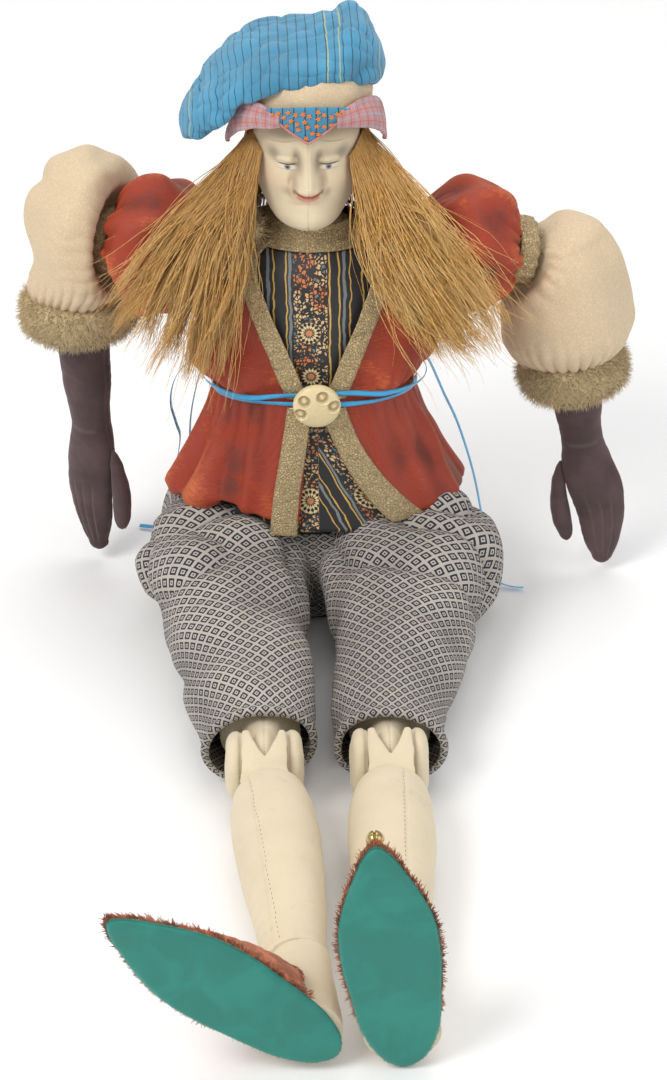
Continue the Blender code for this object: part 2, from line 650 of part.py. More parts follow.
def make_bell(ankle):
    """A small jingle bell sewn behind the point of the left shoe."""
    toe = Vector(SIDES["left"]["toe"]).normalized()
    ankle_place = Vector(SIDES["left"]["ankle"])
    centre = ankle_place + toe * (SOLE_LENGTH - HEEL_BACK - 1)
    centre.y = SOLE_TOP_Y + 6.5
    bell = pivot("bell_swivel_left", centre, ankle)
    profile = [(-4.4, 1.2), (-3.6, 3.0), (-1.6, 4.5), (1.6, 4.5), (3.6, 3.0), (4.4, 1.2)]
    loft("jingle_bell", rod(centre, toe, profile, near=FORWARD, count=12), bell, "brass")


# ---------------------------------------------------------------- placing

def stand_on_origin(body):
    """Move the whole doll so that its box stands centred on the origin."""
    bpy.context.view_layer.update()
    corners = []
    for piece in bpy.context.scene.objects:
        if piece.type in {"MESH", "CURVE"} and not piece.hide_render:
            corners += [piece.matrix_world @ Vector(corner) for corner in piece.bound_box]
    low = Vector([min(corner[axis] for corner in corners) for axis in range(3)])
    high = Vector([max(corner[axis] for corner in corners) for axis in range(3)])
    body.location = (-(low.x + high.x) / 2, -(low.y + high.y) / 2, -low.z)


def main():
    clear_scene()
    body = pivot("doll", (0, 0, 0))
    make_trunk(body)
    make_tunic(body)
    make_jacket(body)
    make_trims(body)
    make_belt(body)
    make_fur_collar(body)
    make_ribbon_tails(body)
    head = pivot("neck_turn", NECK_PIVOT, body)
    make_head(head)
    make_hat(head)
    make_hair(head)
    ankles = {}
    for side in SIDES:
        make_arm(side, body)
        ankles[side] = make_leg(side, body)
    make_bell(ankles["left"])
    stand_on_origin(body)


main()
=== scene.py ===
"""Seated cloth art doll: jacket, trousers, hat, hair, hands, legs and shoes over the fixed frame.

Every piece is made in the doll's own millimetres, x to the doll's left, y behind it and z up,
from the middle of the waist on the floor, and is then put in the frame by the neck joint.
"""
import json
import math

import bpy
import numpy as np
from bpy.props import FloatProperty, FloatVectorProperty, IntProperty, PointerProperty
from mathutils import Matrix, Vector, noise


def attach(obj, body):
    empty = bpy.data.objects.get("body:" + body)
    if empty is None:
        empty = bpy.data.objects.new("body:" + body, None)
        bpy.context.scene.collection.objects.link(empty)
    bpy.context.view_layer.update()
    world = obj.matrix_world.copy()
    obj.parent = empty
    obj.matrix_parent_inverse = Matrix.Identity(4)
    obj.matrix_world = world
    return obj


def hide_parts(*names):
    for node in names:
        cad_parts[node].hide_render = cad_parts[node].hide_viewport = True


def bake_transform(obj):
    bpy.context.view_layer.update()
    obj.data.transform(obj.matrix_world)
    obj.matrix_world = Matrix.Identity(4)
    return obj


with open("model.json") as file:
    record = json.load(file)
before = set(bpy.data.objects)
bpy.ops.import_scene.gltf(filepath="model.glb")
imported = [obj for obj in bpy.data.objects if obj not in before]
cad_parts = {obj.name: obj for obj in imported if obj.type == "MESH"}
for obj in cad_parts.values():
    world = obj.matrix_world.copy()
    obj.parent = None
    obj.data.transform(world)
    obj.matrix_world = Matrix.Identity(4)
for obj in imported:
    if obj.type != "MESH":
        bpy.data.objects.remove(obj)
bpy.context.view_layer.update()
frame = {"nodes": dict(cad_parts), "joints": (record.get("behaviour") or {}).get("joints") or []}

bl_info = {
    "name": "Seated cloth doll",
    "version": (1, 0, 0),
    "blender": (4, 5, 0),
    "location": "View3D > Sidebar > Doll",
    "description": "Sews the seated cloth doll, piece by piece, over its jointed frame",
    "category": "Add Mesh",
}

MM = 0.001
NODES = frame["nodes"]
SIDES = {"left": 1, "right": -1}
JOINT_PLACE = {joint["name"]: Vector(joint["pos_m"]) for joint in frame["joints"]}
NECK = (0, 4, 258)
ORIGIN = JOINT_PLACE["neck_turn"] - Vector(NECK) * MM


# ---------------------------------------------------------------- places and fields

def at(place):
    """A place in the doll's millimetres, in the frame's metres."""
    return ORIGIN + Vector(place) * MM


def doll_place(point):
    """A place in the frame's metres, in the doll's millimetres."""
    return (Vector(point) - ORIGIN) / MM


def smooth_route(corners, parts=3):
    """Catmull-Rom points through given corners."""
    corners = [Vector(corner) for corner in corners]
    ends = [corners[0] * 2 - corners[1]] + corners + [corners[-1] * 2 - corners[-2]]
    points = []
    for before, start, end, after in zip(ends, ends[1:], ends[2:], ends[3:]):
        for step in range(parts):
            t = step / parts
            points.append(0.5 * (2 * start + (end - before) * t
                                 + (2 * before - 5 * start + 4 * end - after) * t ** 2
                                 + (3 * start - before - 3 * end + after) * t ** 3))
    points.append(corners[-1])
    return points


def between(keys, place):
    """Rows of numbers at new places between keys, whose first number is the place. Smooth."""
    keys = np.array(keys, float)
    place = np.atleast_1d(place)
    spots = keys[:, 0]
    slopes = np.gradient(keys[:, 1:], spots, axis=0)
    index = np.clip(np.searchsorted(spots, place) - 1, 0, len(spots) - 2)
    span = (spots[index + 1] - spots[index])[:, None]
    t = np.clip((place[:, None] - spots[index][:, None]) / span, 0, 1)
    a, b = keys[index, 1:], keys[index + 1, 1:]
    ma, mb = slopes[index] * span, slopes[index + 1] * span
    return (a * (2 * t ** 3 - 3 * t ** 2 + 1) + ma * (t ** 3 - 2 * t ** 2 + t)
            + b * (3 * t ** 2 - 2 * t ** 3) + mb * (t ** 3 - t ** 2))


def step_up(value, start, end):
    """0 below start, 1 above end, smooth between."""
    t = np.clip((value - start) / (end - start), 0, 1)
    return t * t * (3 - 2 * t)


def bump_at(value, middle, width):
    """A soft bell of height 1."""
    return np.exp(-((value - middle) / width) ** 2)


def wobble(points, size, seed):
    """Smooth random field from about -1 to 1 whose features are about size millimetres."""
    flat = np.asarray(points, float).reshape(-1, 3) / size + seed * 7.31
    values = np.array([noise.noise(Vector(point)) for point in flat])
    return values.reshape(np.asarray(points).shape[:-1]) * 1.6


def creases(points, size, seed):
    """Rounded folds with narrow valleys, from 0 in the valley to 1 on the fold."""
    return np.clip(np.abs(wobble(points, size, seed)) * 1.8, 0, 1) ** 0.7


def soft_folds(points, size, seed):
    """Rounded folds without sharp valleys, from 0 to 1."""
    return 0.5 + 0.5 * np.sin(4.2 * wobble(points, size, seed))


def gathers(turn, count, sharp=0.75):
    """Rounded gathers across turn, which runs from 0 to 1, with narrow valleys between them."""
    return np.abs(np.sin(np.pi * count * turn)) ** sharp


def grid_normals(grid, close):
    """Unit normals of a grid of points, wrapped across when close is true."""
    if close:
        wide = np.concatenate([grid[:, -1:], grid, grid[:, :1]], axis=1)
        across = (wide[:, 2:] - wide[:, :-2])
    else:
        across = np.gradient(grid, axis=1)
    along = np.gradient(grid, axis=0)
    normals = np.cross(across, along)
    normals /= np.linalg.norm(normals, axis=2, keepdims=True) + 1e-9
    middle = grid.mean(axis=1, keepdims=True)
    if ((grid - middle) * normals).sum() < 0:
        normals = -normals
    return normals


def push(grid, amount, close=True):
    """Move each point of the grid along its normal by its amount in millimetres."""
    return grid + grid_normals(grid, close) * np.asarray(amount)[..., None]


def frames_along(route, near):
    """Unit vectors along, across and beside a route of points; across starts near a direction."""
    route = np.array([tuple(point) for point in route], float)
    along = np.gradient(route, axis=0)
    along /= np.linalg.norm(along, axis=1, keepdims=True)
    across = []
    guide = np.array(near, float)
    for direction in along:
        guide = guide - direction * guide.dot(direction)
        guide /= np.linalg.norm(guide)
        across.append(guide)
    across = np.array(across)
    return along, across, np.cross(along, across)


def tube_grid(route, half_across, half_beside, count, near=(1, 0, 0), power=2.0):
    """Rings of points round a route. Half sizes may change along it."""
    route = np.array([tuple(point) for point in route], float)
    _, across, beside = frames_along(route, near)
    turn = np.arange(count) / count * 2 * np.pi
    cosine, sine = np.cos(turn), np.sin(turn)
    squash = (np.abs(cosine) ** power + np.abs(sine) ** power) ** (-1 / power)
    half_across = np.broadcast_to(half_across, len(route))[:, None, None]
    half_beside = np.broadcast_to(half_beside, len(route))[:, None, None]
    return (route[:, None] + across[:, None] * (cosine * squash)[None, :, None] * half_across
            + beside[:, None] * (sine * squash)[None, :, None] * half_beside)


# ---------------------------------------------------------------- meshes

def new_piece(name, points, faces, material, uv=None, smooth=True):
    """A mesh object whose points are in the doll's millimetres."""
    mesh = bpy.data.meshes.new(name)
    place = np.asarray(points, float) * MM + np.array(ORIGIN)
    mesh.from_pydata(place.tolist(), [], faces)
    if uv is not None:
        layer = mesh.uv_layers.new(name="cloth")
        layer.data.foreach_set("uv", np.asarray(uv, np.float32).ravel())
    mesh.polygons.foreach_set("use_smooth", [smooth] * len(mesh.polygons))
    mesh.materials.append(material)
    mesh.update()
    piece = bpy.data.objects.new(name, mesh)
    bpy.context.scene.collection.objects.link(piece)
    return piece


def skin(name, grid, material, close=True, cap_start=False, cap_end=False, uv_turn=1.0):
    """A skin over a grid of points. The cloth's own map is in millimetres: across, then along."""
    rows, cols = grid.shape[:2]
    normals = grid_normals(grid, close)
    around = np.arange(cols if close else cols - 1)
    level = np.arange(rows - 1)
    low, side = np.meshgrid(level, around, indexing="ij")
    after = (side + 1) % cols
    quads = np.stack([low * cols + side, low * cols + after,
                      (low + 1) * cols + after, (low + 1) * cols + side], axis=-1)
    across_steps = np.linalg.norm(np.diff(grid, axis=1), axis=2).mean()
    along_steps = np.linalg.norm(np.diff(grid, axis=0), axis=2).mean(axis=1)
    run = np.concatenate([[0], np.cumsum(along_steps)])
    u = np.stack([side, side + 1, side + 1, side], axis=-1) * across_steps * uv_turn
    v = np.stack([run[low], run[low], run[low + 1], run[low + 1]], axis=-1)
    uv = np.stack([u, v], axis=-1)
    flat = grid.reshape(-1, 3)
    row = min(rows // 2, rows - 2)
    face = flat[quads[row, 0]]
    turned = np.cross(face[1] - face[0], face[3] - face[0]).dot(normals[row, 0]) < 0
    if turned:
        quads = quads[..., ::-1]
        uv = uv[..., ::-1, :]
    quads = quads.reshape(-1, 4)
    uv = uv.reshape(-1, 2)
    faces = quads.tolist()
    points = flat.tolist()
    extra = []
    for wanted, start in ((cap_start, 0), (cap_end, (rows - 1) * cols)):
        if not wanted:
            continue
        points.append(flat[start:start + cols].mean(axis=0).tolist())
        pole = len(points) - 1
        for spot in range(cols):
            pair = [start + spot, start + (spot + 1) % cols]
            if (start == 0) != turned:
                pair.reverse()
            faces.append([pair[0], pair[1], pole])
            height = run[0] if start == 0 else run[-1]
            extra += [(spot * across_steps, height), ((spot + 1) * across_steps, height),
                      ((spot + 0.5) * across_steps, height)]
    if extra:
        uv = np.concatenate([uv, np.array(extra)])
    return new_piece(name, points, faces, material, uv)


def settle(piece):
    """Turn a piece's modifiers into plain mesh."""
    bpy.context.view_layer.update()
    graph = bpy.context.evaluated_depsgraph_get()
    mesh = bpy.data.meshes.new_from_object(piece.evaluated_get(graph), depsgraph=graph)
    old = piece.data
    piece.modifiers.clear()
    piece.data = mesh
    bpy.data.meshes.remove(old)
    mesh.name = piece.name
    return piece


def thicken(piece, thickness, rounds=0):
    """Give an open sheet its wall, inwards, and round it off."""
    wall = piece.modifiers.new("cloth", "SOLIDIFY")
    wall.thickness = thickness * MM
    wall.offset = -1
    wall.use_even_offset = False
    if rounds:
        finer = piece.modifiers.new("finer", "SUBSURF")
        finer.levels = finer.render_levels = rounds
    return settle(piece)


def joined(name, pieces):
    """One piece from several that share a body."""
    for piece in bpy.context.selected_objects:
        piece.select_set(False)
    for piece in pieces:
        piece.select_set(True)
    bpy.context.view_layer.objects.active = pieces[0]
    bpy.ops.object.join()
    pieces[0].name = name
    pieces[0].data.name = name
    pieces[0].select_set(False)
    return pieces[0]


def stuffed_copy(node, name, material, voxel=2.0):
    """A soft, rounded copy of a frame solid, for what its clothes mostly hide."""
    mesh = NODES[node].data.copy()
    mesh.materials.clear()
    mesh.materials.append(material)
    piece = bpy.data.objects.new(name, mesh)
    bpy.context.scene.collection.objects.link(piece)
    weld = piece.modifiers.new("weld", "WELD")
    weld.merge_threshold = 1e-5
    remesh = piece.modifiers.new("even", "REMESH")
    remesh.mode = "VOXEL"
    remesh.voxel_size = voxel * MM
    soften = piece.modifiers.new("soften", "SMOOTH")
    soften.factor = 0.6
    soften.iterations = 8
    settle(piece)
    piece.data.polygons.foreach_set("use_smooth", [True] * len(piece.data.polygons))
    return piece


# ---------------------------------------------------------------- geometry node trees

def tree_with(name, inputs):
    """An empty node tree for a modifier, with its named inputs."""
    tree = bpy.data.node_groups.new(name, "GeometryNodeTree")
    tree.interface.new_socket("Geometry", in_out="INPUT", socket_type="NodeSocketGeometry")
    for label, kind, default in inputs:
        socket = tree.interface.new_socket(label, in_out="INPUT", socket_type=kind)
        if default is not None:
            socket.default_value = default
    tree.interface.new_socket("Geometry", in_out="OUTPUT", socket_type="NodeSocketGeometry")
    return tree, tree.nodes.new("NodeGroupInput"), tree.nodes.new("NodeGroupOutput")


def finish_tree(tree, geometry, entry, leave, realize):
    """End a tree in Realize Instances, where it has them, and Set Material."""
    if realize:
        real = tree.nodes.new("GeometryNodeRealizeInstances")
        tree.links.new(geometry, real.inputs[0])
        geometry = real.outputs[0]
    paint = tree.nodes.new("GeometryNodeSetMaterial")
    tree.links.new(geometry, paint.inputs["Geometry"])
    tree.links.new(entry.outputs["Material"], paint.inputs["Material"])
    tree.links.new(paint.outputs["Geometry"], leave.inputs["Geometry"])
    return tree


def run_tree(piece, tree, settings):
    """Put a node tree on a piece, set its inputs by identifier and turn it into plain mesh."""
    modifier = piece.modifiers.new(tree.name, "NODES")
    modifier.node_group = tree
    for socket in tree.interface.items_tree:
        if socket.in_out == "INPUT" and socket.name in settings:
            modifier[socket.identifier] = settings[socket.name]
    return settle(piece)


def strand_tree():
    """Threads along the edges of a mesh, thinner towards the tip."""
    tree, entry, leave = tree_with("threads along lines", (
        ("Radius", "NodeSocketFloat", 0.2 * MM), ("Tip", "NodeSocketFloat", 0.3),
        ("Sides", "NodeSocketInt", 3), ("Material", "NodeSocketMaterial", None)))
    n, given = Nodes(tree), entry.outputs
    curve = n.make("GeometryNodeMeshToCurve", {"Mesh": given["Geometry"]})
    along = n.make("GeometryNodeSplineParameter")
    power = n.math("POWER", along["Factor"], 3.0)
    taper = n.make("ShaderNodeMapRange", {"Value": power, "To Min": 1.0, "To Max": given["Tip"]})
    circle = n.make("GeometryNodeCurvePrimitiveCircle",
                    {"Resolution": given["Sides"], "Radius": given["Radius"]})
    body = n.make("GeometryNodeCurveToMesh", {
        "Curve": curve["Curve"], "Profile Curve": circle["Curve"], "Scale": taper["Result"], "Fill Caps": True})
    smooth = n.make("GeometryNodeSetShadeSmooth", {"Geometry": body["Mesh"]})
    return finish_tree(tree, smooth["Geometry"], entry, leave, False)


def pile_tree():
    """Fur: tapered hairs over a surface, combed one way, with random lean and length."""
    tree, entry, leave = tree_with("fur pile", (
        ("Hair", "NodeSocketObject", None), ("Density", "NodeSocketFloat", 100000.0),
        ("Length", "NodeSocketFloat", 6.0), ("Comb", "NodeSocketVector", None),
        ("Scatter", "NodeSocketFloat", 0.5), ("Seed", "NodeSocketInt", 3),
        ("Material", "NodeSocketMaterial", None)))
    n, given = Nodes(tree), entry.outputs
    spots = n.make("GeometryNodeDistributePointsOnFaces", {
        "Mesh": given["Geometry"], "Density": given["Density"], "Seed": given["Seed"]})
    lean = n.make("FunctionNodeRandomValue", {0: (-1, -1, -1), 1: (1, 1, 1), "Seed": given["Seed"]},
                  data_type="FLOAT_VECTOR")
    spread = n.vector("SCALE", lean[0], scale=given["Scatter"])
    combed = n.vector("ADD", spots["Normal"], given["Comb"])
    turn = n.make("FunctionNodeAlignRotationToVector", {"Vector": n.vector("ADD", combed, spread)}, axis="Z")
    size = n.make("FunctionNodeRandomValue", {2: 0.55, 3: 1.25, "Seed": given["Seed"]}, data_type="FLOAT")
    length = n.times(size[1], given["Length"])
    hair = n.make("GeometryNodeObjectInfo", {"Object": given["Hair"]})
    planted = n.make("GeometryNodeInstanceOnPoints", {
        "Points": spots["Points"], "Instance": hair["Geometry"], "Rotation": turn["Rotation"],
        "Scale": n.combine(1.0, 1.0, length)})
    return finish_tree(tree, planted["Instances"], entry, leave, True)


def stitch_tree():
    """Thread stitches along a line of edges, one every pitch."""
    tree, entry, leave = tree_with("stitches along a line", (
        ("Stitch", "NodeSocketObject", None), ("Pitch", "NodeSocketFloat", 2.5 * MM),
        ("Size", "NodeSocketFloat", 1.0), ("Slant", "NodeSocketFloat", 0.0),
        ("Material", "NodeSocketMaterial", None)))
    n, given = Nodes(tree), entry.outputs
    curve = n.make("GeometryNodeMeshToCurve", {"Mesh": given["Geometry"]})
    spots = n.make("GeometryNodeCurveToPoints", {"Curve": curve["Curve"], "Length": given["Pitch"]}, mode="LENGTH")
    turn = n.make("FunctionNodeAlignRotationToVector", {"Vector": spots["Tangent"]}, axis="X")
    rotate = n.make("FunctionNodeRotateRotation", {
        "Rotation": turn["Rotation"], "Rotate By": n.combine(0.0, 0.0, given["Slant"])}, rotation_space="LOCAL")
    thread = n.make("GeometryNodeObjectInfo", {"Object": given["Stitch"]})
    sewn = n.make("GeometryNodeInstanceOnPoints", {
        "Points": spots["Points"], "Instance": thread["Geometry"], "Rotation": rotate["Rotation"],
        "Scale": given["Size"]})
    return finish_tree(tree, sewn["Instances"], entry, leave, True)


def tool_mesh(name, points, faces):
    """A small mesh that a node tree repeats. It is removed before the file ends."""
    mesh = bpy.data.meshes.new(name)
    mesh.from_pydata(points, [], faces)
    mesh.polygons.foreach_set("use_smooth", [True] * len(mesh.polygons))
    tool = bpy.data.objects.new(name, mesh)
    bpy.context.scene.collection.objects.link(tool)
    return tool


def single_hair(name, radius, length, bend, levels=3):
    """A three-sided tapered hair that grows up z and bends towards x."""
    points, faces = [], []
    for level in range(levels):
        part = level / levels
        for side in range(3):
            turn = side * 2 * math.pi / 3
            wide = radius * (1 - 0.75 * part)
            points.append((wide * math.cos(turn) + bend * length * part ** 2,
                           wide * math.sin(turn), length * part))
    points.append((bend * length, 0, length))
    for level in range(levels - 1):
        for side in range(3):
            low, after = level * 3 + side, level * 3 + (side + 1) % 3
            faces.append((low, after, after + 3, low + 3))
    top = len(points) - 1
    for side in range(3):
        faces.append((top - 3 + side, top - 3 + (side + 1) % 3, top))
    faces.append((2, 1, 0))
    return tool_mesh(name, points, faces)


def single_stitch(name, length, radius):
    """A short fat thread, thin at both ends, lying along x."""
    points, faces = [(-length / 2, 0, 0)], []
    for x, wide in ((-0.3, 0.8), (0.0, 1.0), (0.3, 0.8)):
        for side in range(6):
            turn = side * math.pi / 3
            points.append((x * length, wide * radius * math.cos(turn), wide * radius * math.sin(turn)))
    points.append((length / 2, 0, 0))
    for side in range(6):
        after = (side + 1) % 6
        faces.append((0, 1 + after, 1 + side))
        for level in (1, 7):
            faces.append((level + side, level + after, level + after + 6, level + side + 6))
        faces.append((13 + side, 13 + after, 19))
    return tool_mesh(name, points, faces)


def line_mesh(name, lines):
    """Loose lines of points, in the doll's millimetres, for a tree to follow."""
    points, edges = [], []
    for line in lines:
        first = len(points)
        points += [tuple(at(point)) for point in line]
        edges += [(first + step, first + step + 1) for step in range(len(line) - 1)]
    mesh = bpy.data.meshes.new(name)
    mesh.from_pydata(points, edges, [])
    piece = bpy.data.objects.new(name, mesh)
    bpy.context.scene.collection.objects.link(piece)
    return piece


def stitches(name, lines, material, pitch=2.5, length=1.6, radius=0.22, slant=0.0):
    """Real thread stitches along lines."""
    piece = line_mesh(name, lines)
    thread = single_stitch("thread_tool", length * MM, radius * MM)
    run_tree(piece, stitch_tree(), {"Stitch": thread, "Pitch": pitch * MM, "Slant": slant,
                                    "Material": material})
    bpy.data.objects.remove(thread)
    return piece


def threads(name, lines, material, radius=0.2, tip=0.3, sides=3):
    """Loose threads or hairs along lines of points."""
    piece = line_mesh(name, lines)
    return run_tree(piece, strand_tree(), {"Radius": radius * MM, "Tip": tip, "Sides": sides,
                                           "Material": material})


def fur_on(name, base, material, per_mm2, length, comb, scatter, seed, radius=0.18, bend=0.35):
    """Fur that grows from a base piece, joined with it."""
    hair = single_hair("hair_tool", radius * MM, MM, bend)
    pile = base.copy()
    pile.data = base.data.copy()
    bpy.context.scene.collection.objects.link(pile)
    run_tree(pile, pile_tree(), {"Hair": hair, "Density": per_mm2 / MM ** 2, "Length": float(length),
                                 "Comb": comb, "Scatter": scatter, "Seed": seed,
                                 "Material": material})
    bpy.data.objects.remove(hair)
    return joined(name, [base, pile])


# ---------------------------------------------------------------- shared shading groups

GROUPS = {}


def group(label):
    """Build a shading group once, and hand it out after that."""
    def wrap_maker(maker):
        def get():
            if label not in GROUPS:
                tree = bpy.data.node_groups.new(label, "ShaderNodeTree")
                GROUPS[label] = tree
                maker(Nodes(tree))
            return GROUPS[label]
        return get
    return wrap_maker


class Nodes:
    """Adds and links the nodes of one tree."""

    def __init__(self, tree):
        self.tree = tree
        self.entry = None

    def add(self, kind, **settings):
        node = self.tree.nodes.new(kind)
        for key, value in settings.items():
            setattr(node, key, value)
        return node

    def make(self, kind, inputs=(), **settings):
        """Add a node, fill its inputs by label or number, and hand out its outputs."""
        node = self.add(kind, **settings)
        for label, value in dict(inputs).items():
            self.put(node.inputs[label], value)
        return node.outputs

    def put(self, socket, value):
        """Link an output to a socket, or set the socket to a value."""
        if isinstance(value, bpy.types.NodeSocket):
            self.tree.links.new(value, socket)
        elif value is not None:
            if isinstance(value, (tuple, list)) and socket.type == "RGBA" and len(value) == 3:
                value = (*value, 1.0)
            socket.default_value = value

    def takes(self, *sockets):
        """Name the group's inputs as label and default. One with no default is a vector."""
        for label, default in sockets:
            kind = "NodeSocketVector" if default is None else "NodeSocketFloat"
            socket = self.tree.interface.new_socket(label, in_out="INPUT", socket_type=kind)
            if default is not None:
                socket.default_value = default
        self.entry = self.add("NodeGroupInput")
        return [self.entry.outputs[label] for label, _ in sockets]

    def gives(self, **outputs):
        """Name the group's outputs."""
        leave = self.add("NodeGroupOutput")
        for label, value in outputs.items():
            self.tree.interface.new_socket(label, in_out="OUTPUT", socket_type="NodeSocketFloat")
            self.put(leave.inputs[label], value)

    def math(self, operation, first, second=None, third=None, clamp=False):
        node = self.add("ShaderNodeMath", operation=operation, use_clamp=clamp)
        for socket, value in zip(node.inputs, (first, second, third)):
            self.put(socket, value)
        return node.outputs[0]

    def times(self, first, second, clamp=False):
        return self.math("MULTIPLY", first, second, clamp=clamp)

    def minus(self, first, second):
        return self.math("SUBTRACT", first, second)

    def ridges(self, value, spacing):
        """Rounded ridges, one every spacing."""
        return self.math("ABSOLUTE", self.math("SINE", self.times(value, math.pi / spacing)))

    def vector(self, operation, first, second=None, scale=None):
        node = self.add("ShaderNodeVectorMath", operation=operation)
        self.put(node.inputs[0], first)
        if second is not None:
            self.put(node.inputs[1], second)
        if scale is not None:
            self.put(node.inputs["Scale"], scale)
        return node.outputs["Value"] if operation in {"LENGTH", "DOT_PRODUCT"} else node.outputs[0]

    def split(self, vector):
        node = self.add("ShaderNodeSeparateXYZ")
        self.put(node.inputs[0], vector)
        return node.outputs

    def combine(self, x=0.0, y=0.0, z=0.0):
        node = self.add("ShaderNodeCombineXYZ")
        for socket, value in zip(node.inputs, (x, y, z)):
            self.put(socket, value)
        return node.outputs[0]

    def noise(self, vector, scale, detail=2.0, roughness=0.5, distortion=0.0, output="Fac"):
        node = self.add("ShaderNodeTexNoise")
        for label, value in (("Vector", vector), ("Scale", scale), ("Detail", detail),
                             ("Roughness", roughness), ("Distortion", distortion)):
            self.put(node.inputs[label], value)
        return node.outputs["Fac" if output == "Fac" else "Color"]

    def cells(self, vector, scale, feature="F1", output="Distance"):
        node = self.add("ShaderNodeTexVoronoi", feature=feature)
        self.put(node.inputs["Vector"], vector)
        self.put(node.inputs["Scale"], scale)
        return node.outputs[output]

    def remap(self, value, low, high, to_low=0.0, to_high=1.0, smooth=True):
        node = self.add("ShaderNodeMapRange", interpolation_type="SMOOTHSTEP" if smooth else "LINEAR")
        for socket, setting in zip(node.inputs, (value, low, high, to_low, to_high)):
            self.put(socket, setting)
        return node.outputs[0]

    def mix(self, factor, first, second, blend="MIX"):
        node = self.add("ShaderNodeMix", data_type="RGBA", blend_type=blend)
        self.put(node.inputs[0], factor)
        self.put(node.inputs[6], first)
        self.put(node.inputs[7], second)
        return node.outputs[2]

    def use(self, maker, **inputs):
        """Place a shading group, with its inputs by label."""
        node = self.add("ShaderNodeGroup")
        node.node_tree = maker()
        for label, value in inputs.items():
            self.put(node.inputs[label.replace("_", " ")], value)
        return node.outputs

    def steps(self, value, stops):
        """A value that changes at each stop: place, value."""
        node = self.add("ShaderNodeValToRGB")
        ramp = node.color_ramp
        ramp.interpolation = "CONSTANT"
        while len(ramp.elements) < len(stops):
            ramp.elements.new(1.0)
        for element, (place, level) in zip(ramp.elements, stops):
            element.position = place
            element.color = (level, level, level, 1.0)
        self.put(node.inputs[0], value)
        return node.outputs[0]


class Finish(Nodes):
    """One material for the doll, seen in millimetres."""

    def __init__(self, name, slot, roughness=0.85, **shader):
        self.material = bpy.data.materials.new(name)
        self.material.use_nodes = True
        super().__init__(self.material.node_tree)
        self.shader = self.tree.nodes["Principled BSDF"]
        self.shader.inputs["Roughness"].default_value = roughness
        for label, value in shader.items():
            self.put(self.shader.inputs[label.replace("_", " ")], value)
        self.slot = slot
        self._cloth = self._doll = None

    @property
    def cloth(self):
        """The piece's own cloth map, in millimetres across and along."""
        if self._cloth is None:
            self._cloth = self.add("ShaderNodeUVMap", uv_map="cloth").outputs[0]
        return self._cloth

    @property
    def doll(self):
        """Place on the doll, in its millimetres."""
        if self._doll is None:
            where = self.add("ShaderNodeTexCoord").outputs["Object"]
            node = self.add("ShaderNodeMapping")
            self.put(node.inputs["Vector"], where)
            node.inputs["Scale"].default_value = (1 / MM,) * 3
            node.inputs["Location"].default_value = tuple(-ORIGIN / MM)
            self._doll = node.outputs[0]
        return self._doll

    def attribute(self, name):
        return self.add("ShaderNodeAttribute", attribute_name=name).outputs["Fac"]

    def done(self, colour, height=None, depth=0.3, strength=0.6, roughness=None):
        self.put(self.shader.inputs["Base Color"], colour)
        if roughness is not None:
            self.put(self.shader.inputs["Roughness"], roughness)
        if height is not None:
            bump = self.add("ShaderNodeBump")
            bump.inputs["Distance"].default_value = depth * MM
            bump.inputs["Strength"].default_value = strength
            self.put(bump.inputs["Height"], height)
            self.tree.links.new(bump.outputs["Normal"], self.shader.inputs["Normal"])
        self.material.diffuse_color = (0.6, 0.5, 0.4, 1.0)
        return self.material


@group("plain weave")
def plain_weave(n):
    """Over and under threads. Vector is in millimetres."""
    vector, pitch, slub = n.takes(("Vector", None), ("Pitch", 0.6), ("Slub", 0.3))
    wander = n.vector("SCALE", n.noise(vector, 0.35, 2.0, output="Color"), scale=slub)
    x, y, _ = n.split(n.vector("SCALE", n.vector("ADD", vector, wander), scale=math.pi))
    warp = n.math("SINE", n.math("DIVIDE", x, pitch))
    weft = n.math("SINE", n.math("DIVIDE", y, pitch))
    cross = n.times(warp, weft)
    fuzz = n.noise(vector, 1.8, 4.0, 0.7)
    height = n.math("MULTIPLY_ADD", n.math("ABSOLUTE", cross), 0.55, n.times(fuzz, 0.45))
    n.gives(Height=height, Fuzz=fuzz)


@group("ribbed knit")
def ribbed_knit(n):
    """Fine ribs that run along the second axis of the vector, in millimetres."""
    vector, pitch = n.takes(("Vector", None), ("Pitch", 0.9))
    x, y, _ = n.split(vector)
    drift = n.times(n.noise(vector, 0.12, 2.0), 1.1)
    turn = n.math("DIVIDE", n.times(n.math("ADD", x, drift), math.pi), pitch)
    rib = n.math("ABSOLUTE", n.math("SINE", turn))
    loop = n.ridges(y, 0.7)
    height = n.math("MULTIPLY_ADD", loop, 0.25, n.times(rib, 0.75))
    n.gives(Height=height, Groove=n.remap(rib, 0.0, 0.5, 1.0, 0.0))


@group("velvet nap")
def velvet_nap(n):
    """Crushed pile: patches that lie either way, streaks and fine wales. Millimetres."""
    vector, size = n.takes(("Vector", None), ("Patch size", 16.0))
    wide = n.vector("DIVIDE", vector, n.combine(size, size, size))
    patch = n.noise(wide, 1.0, 3.0, 0.55, 0.9)
    x, y, z = n.split(vector)
    streak = n.noise(n.combine(n.times(x, 0.25), n.times(y, 0.25),
                               n.times(z, 1.1)), 0.8, 4.0, 0.65, 0.6)
    wale = n.ridges(n.math("ADD", n.times(patch, 5.0), y), 1.1)
    pile = n.noise(vector, 3.5, 3.0, 0.8)
    n.gives(Patch=n.remap(patch, 0.36, 0.66), Streak=n.remap(streak, 0.3, 0.75),
            Wale=wale, Pile=pile)


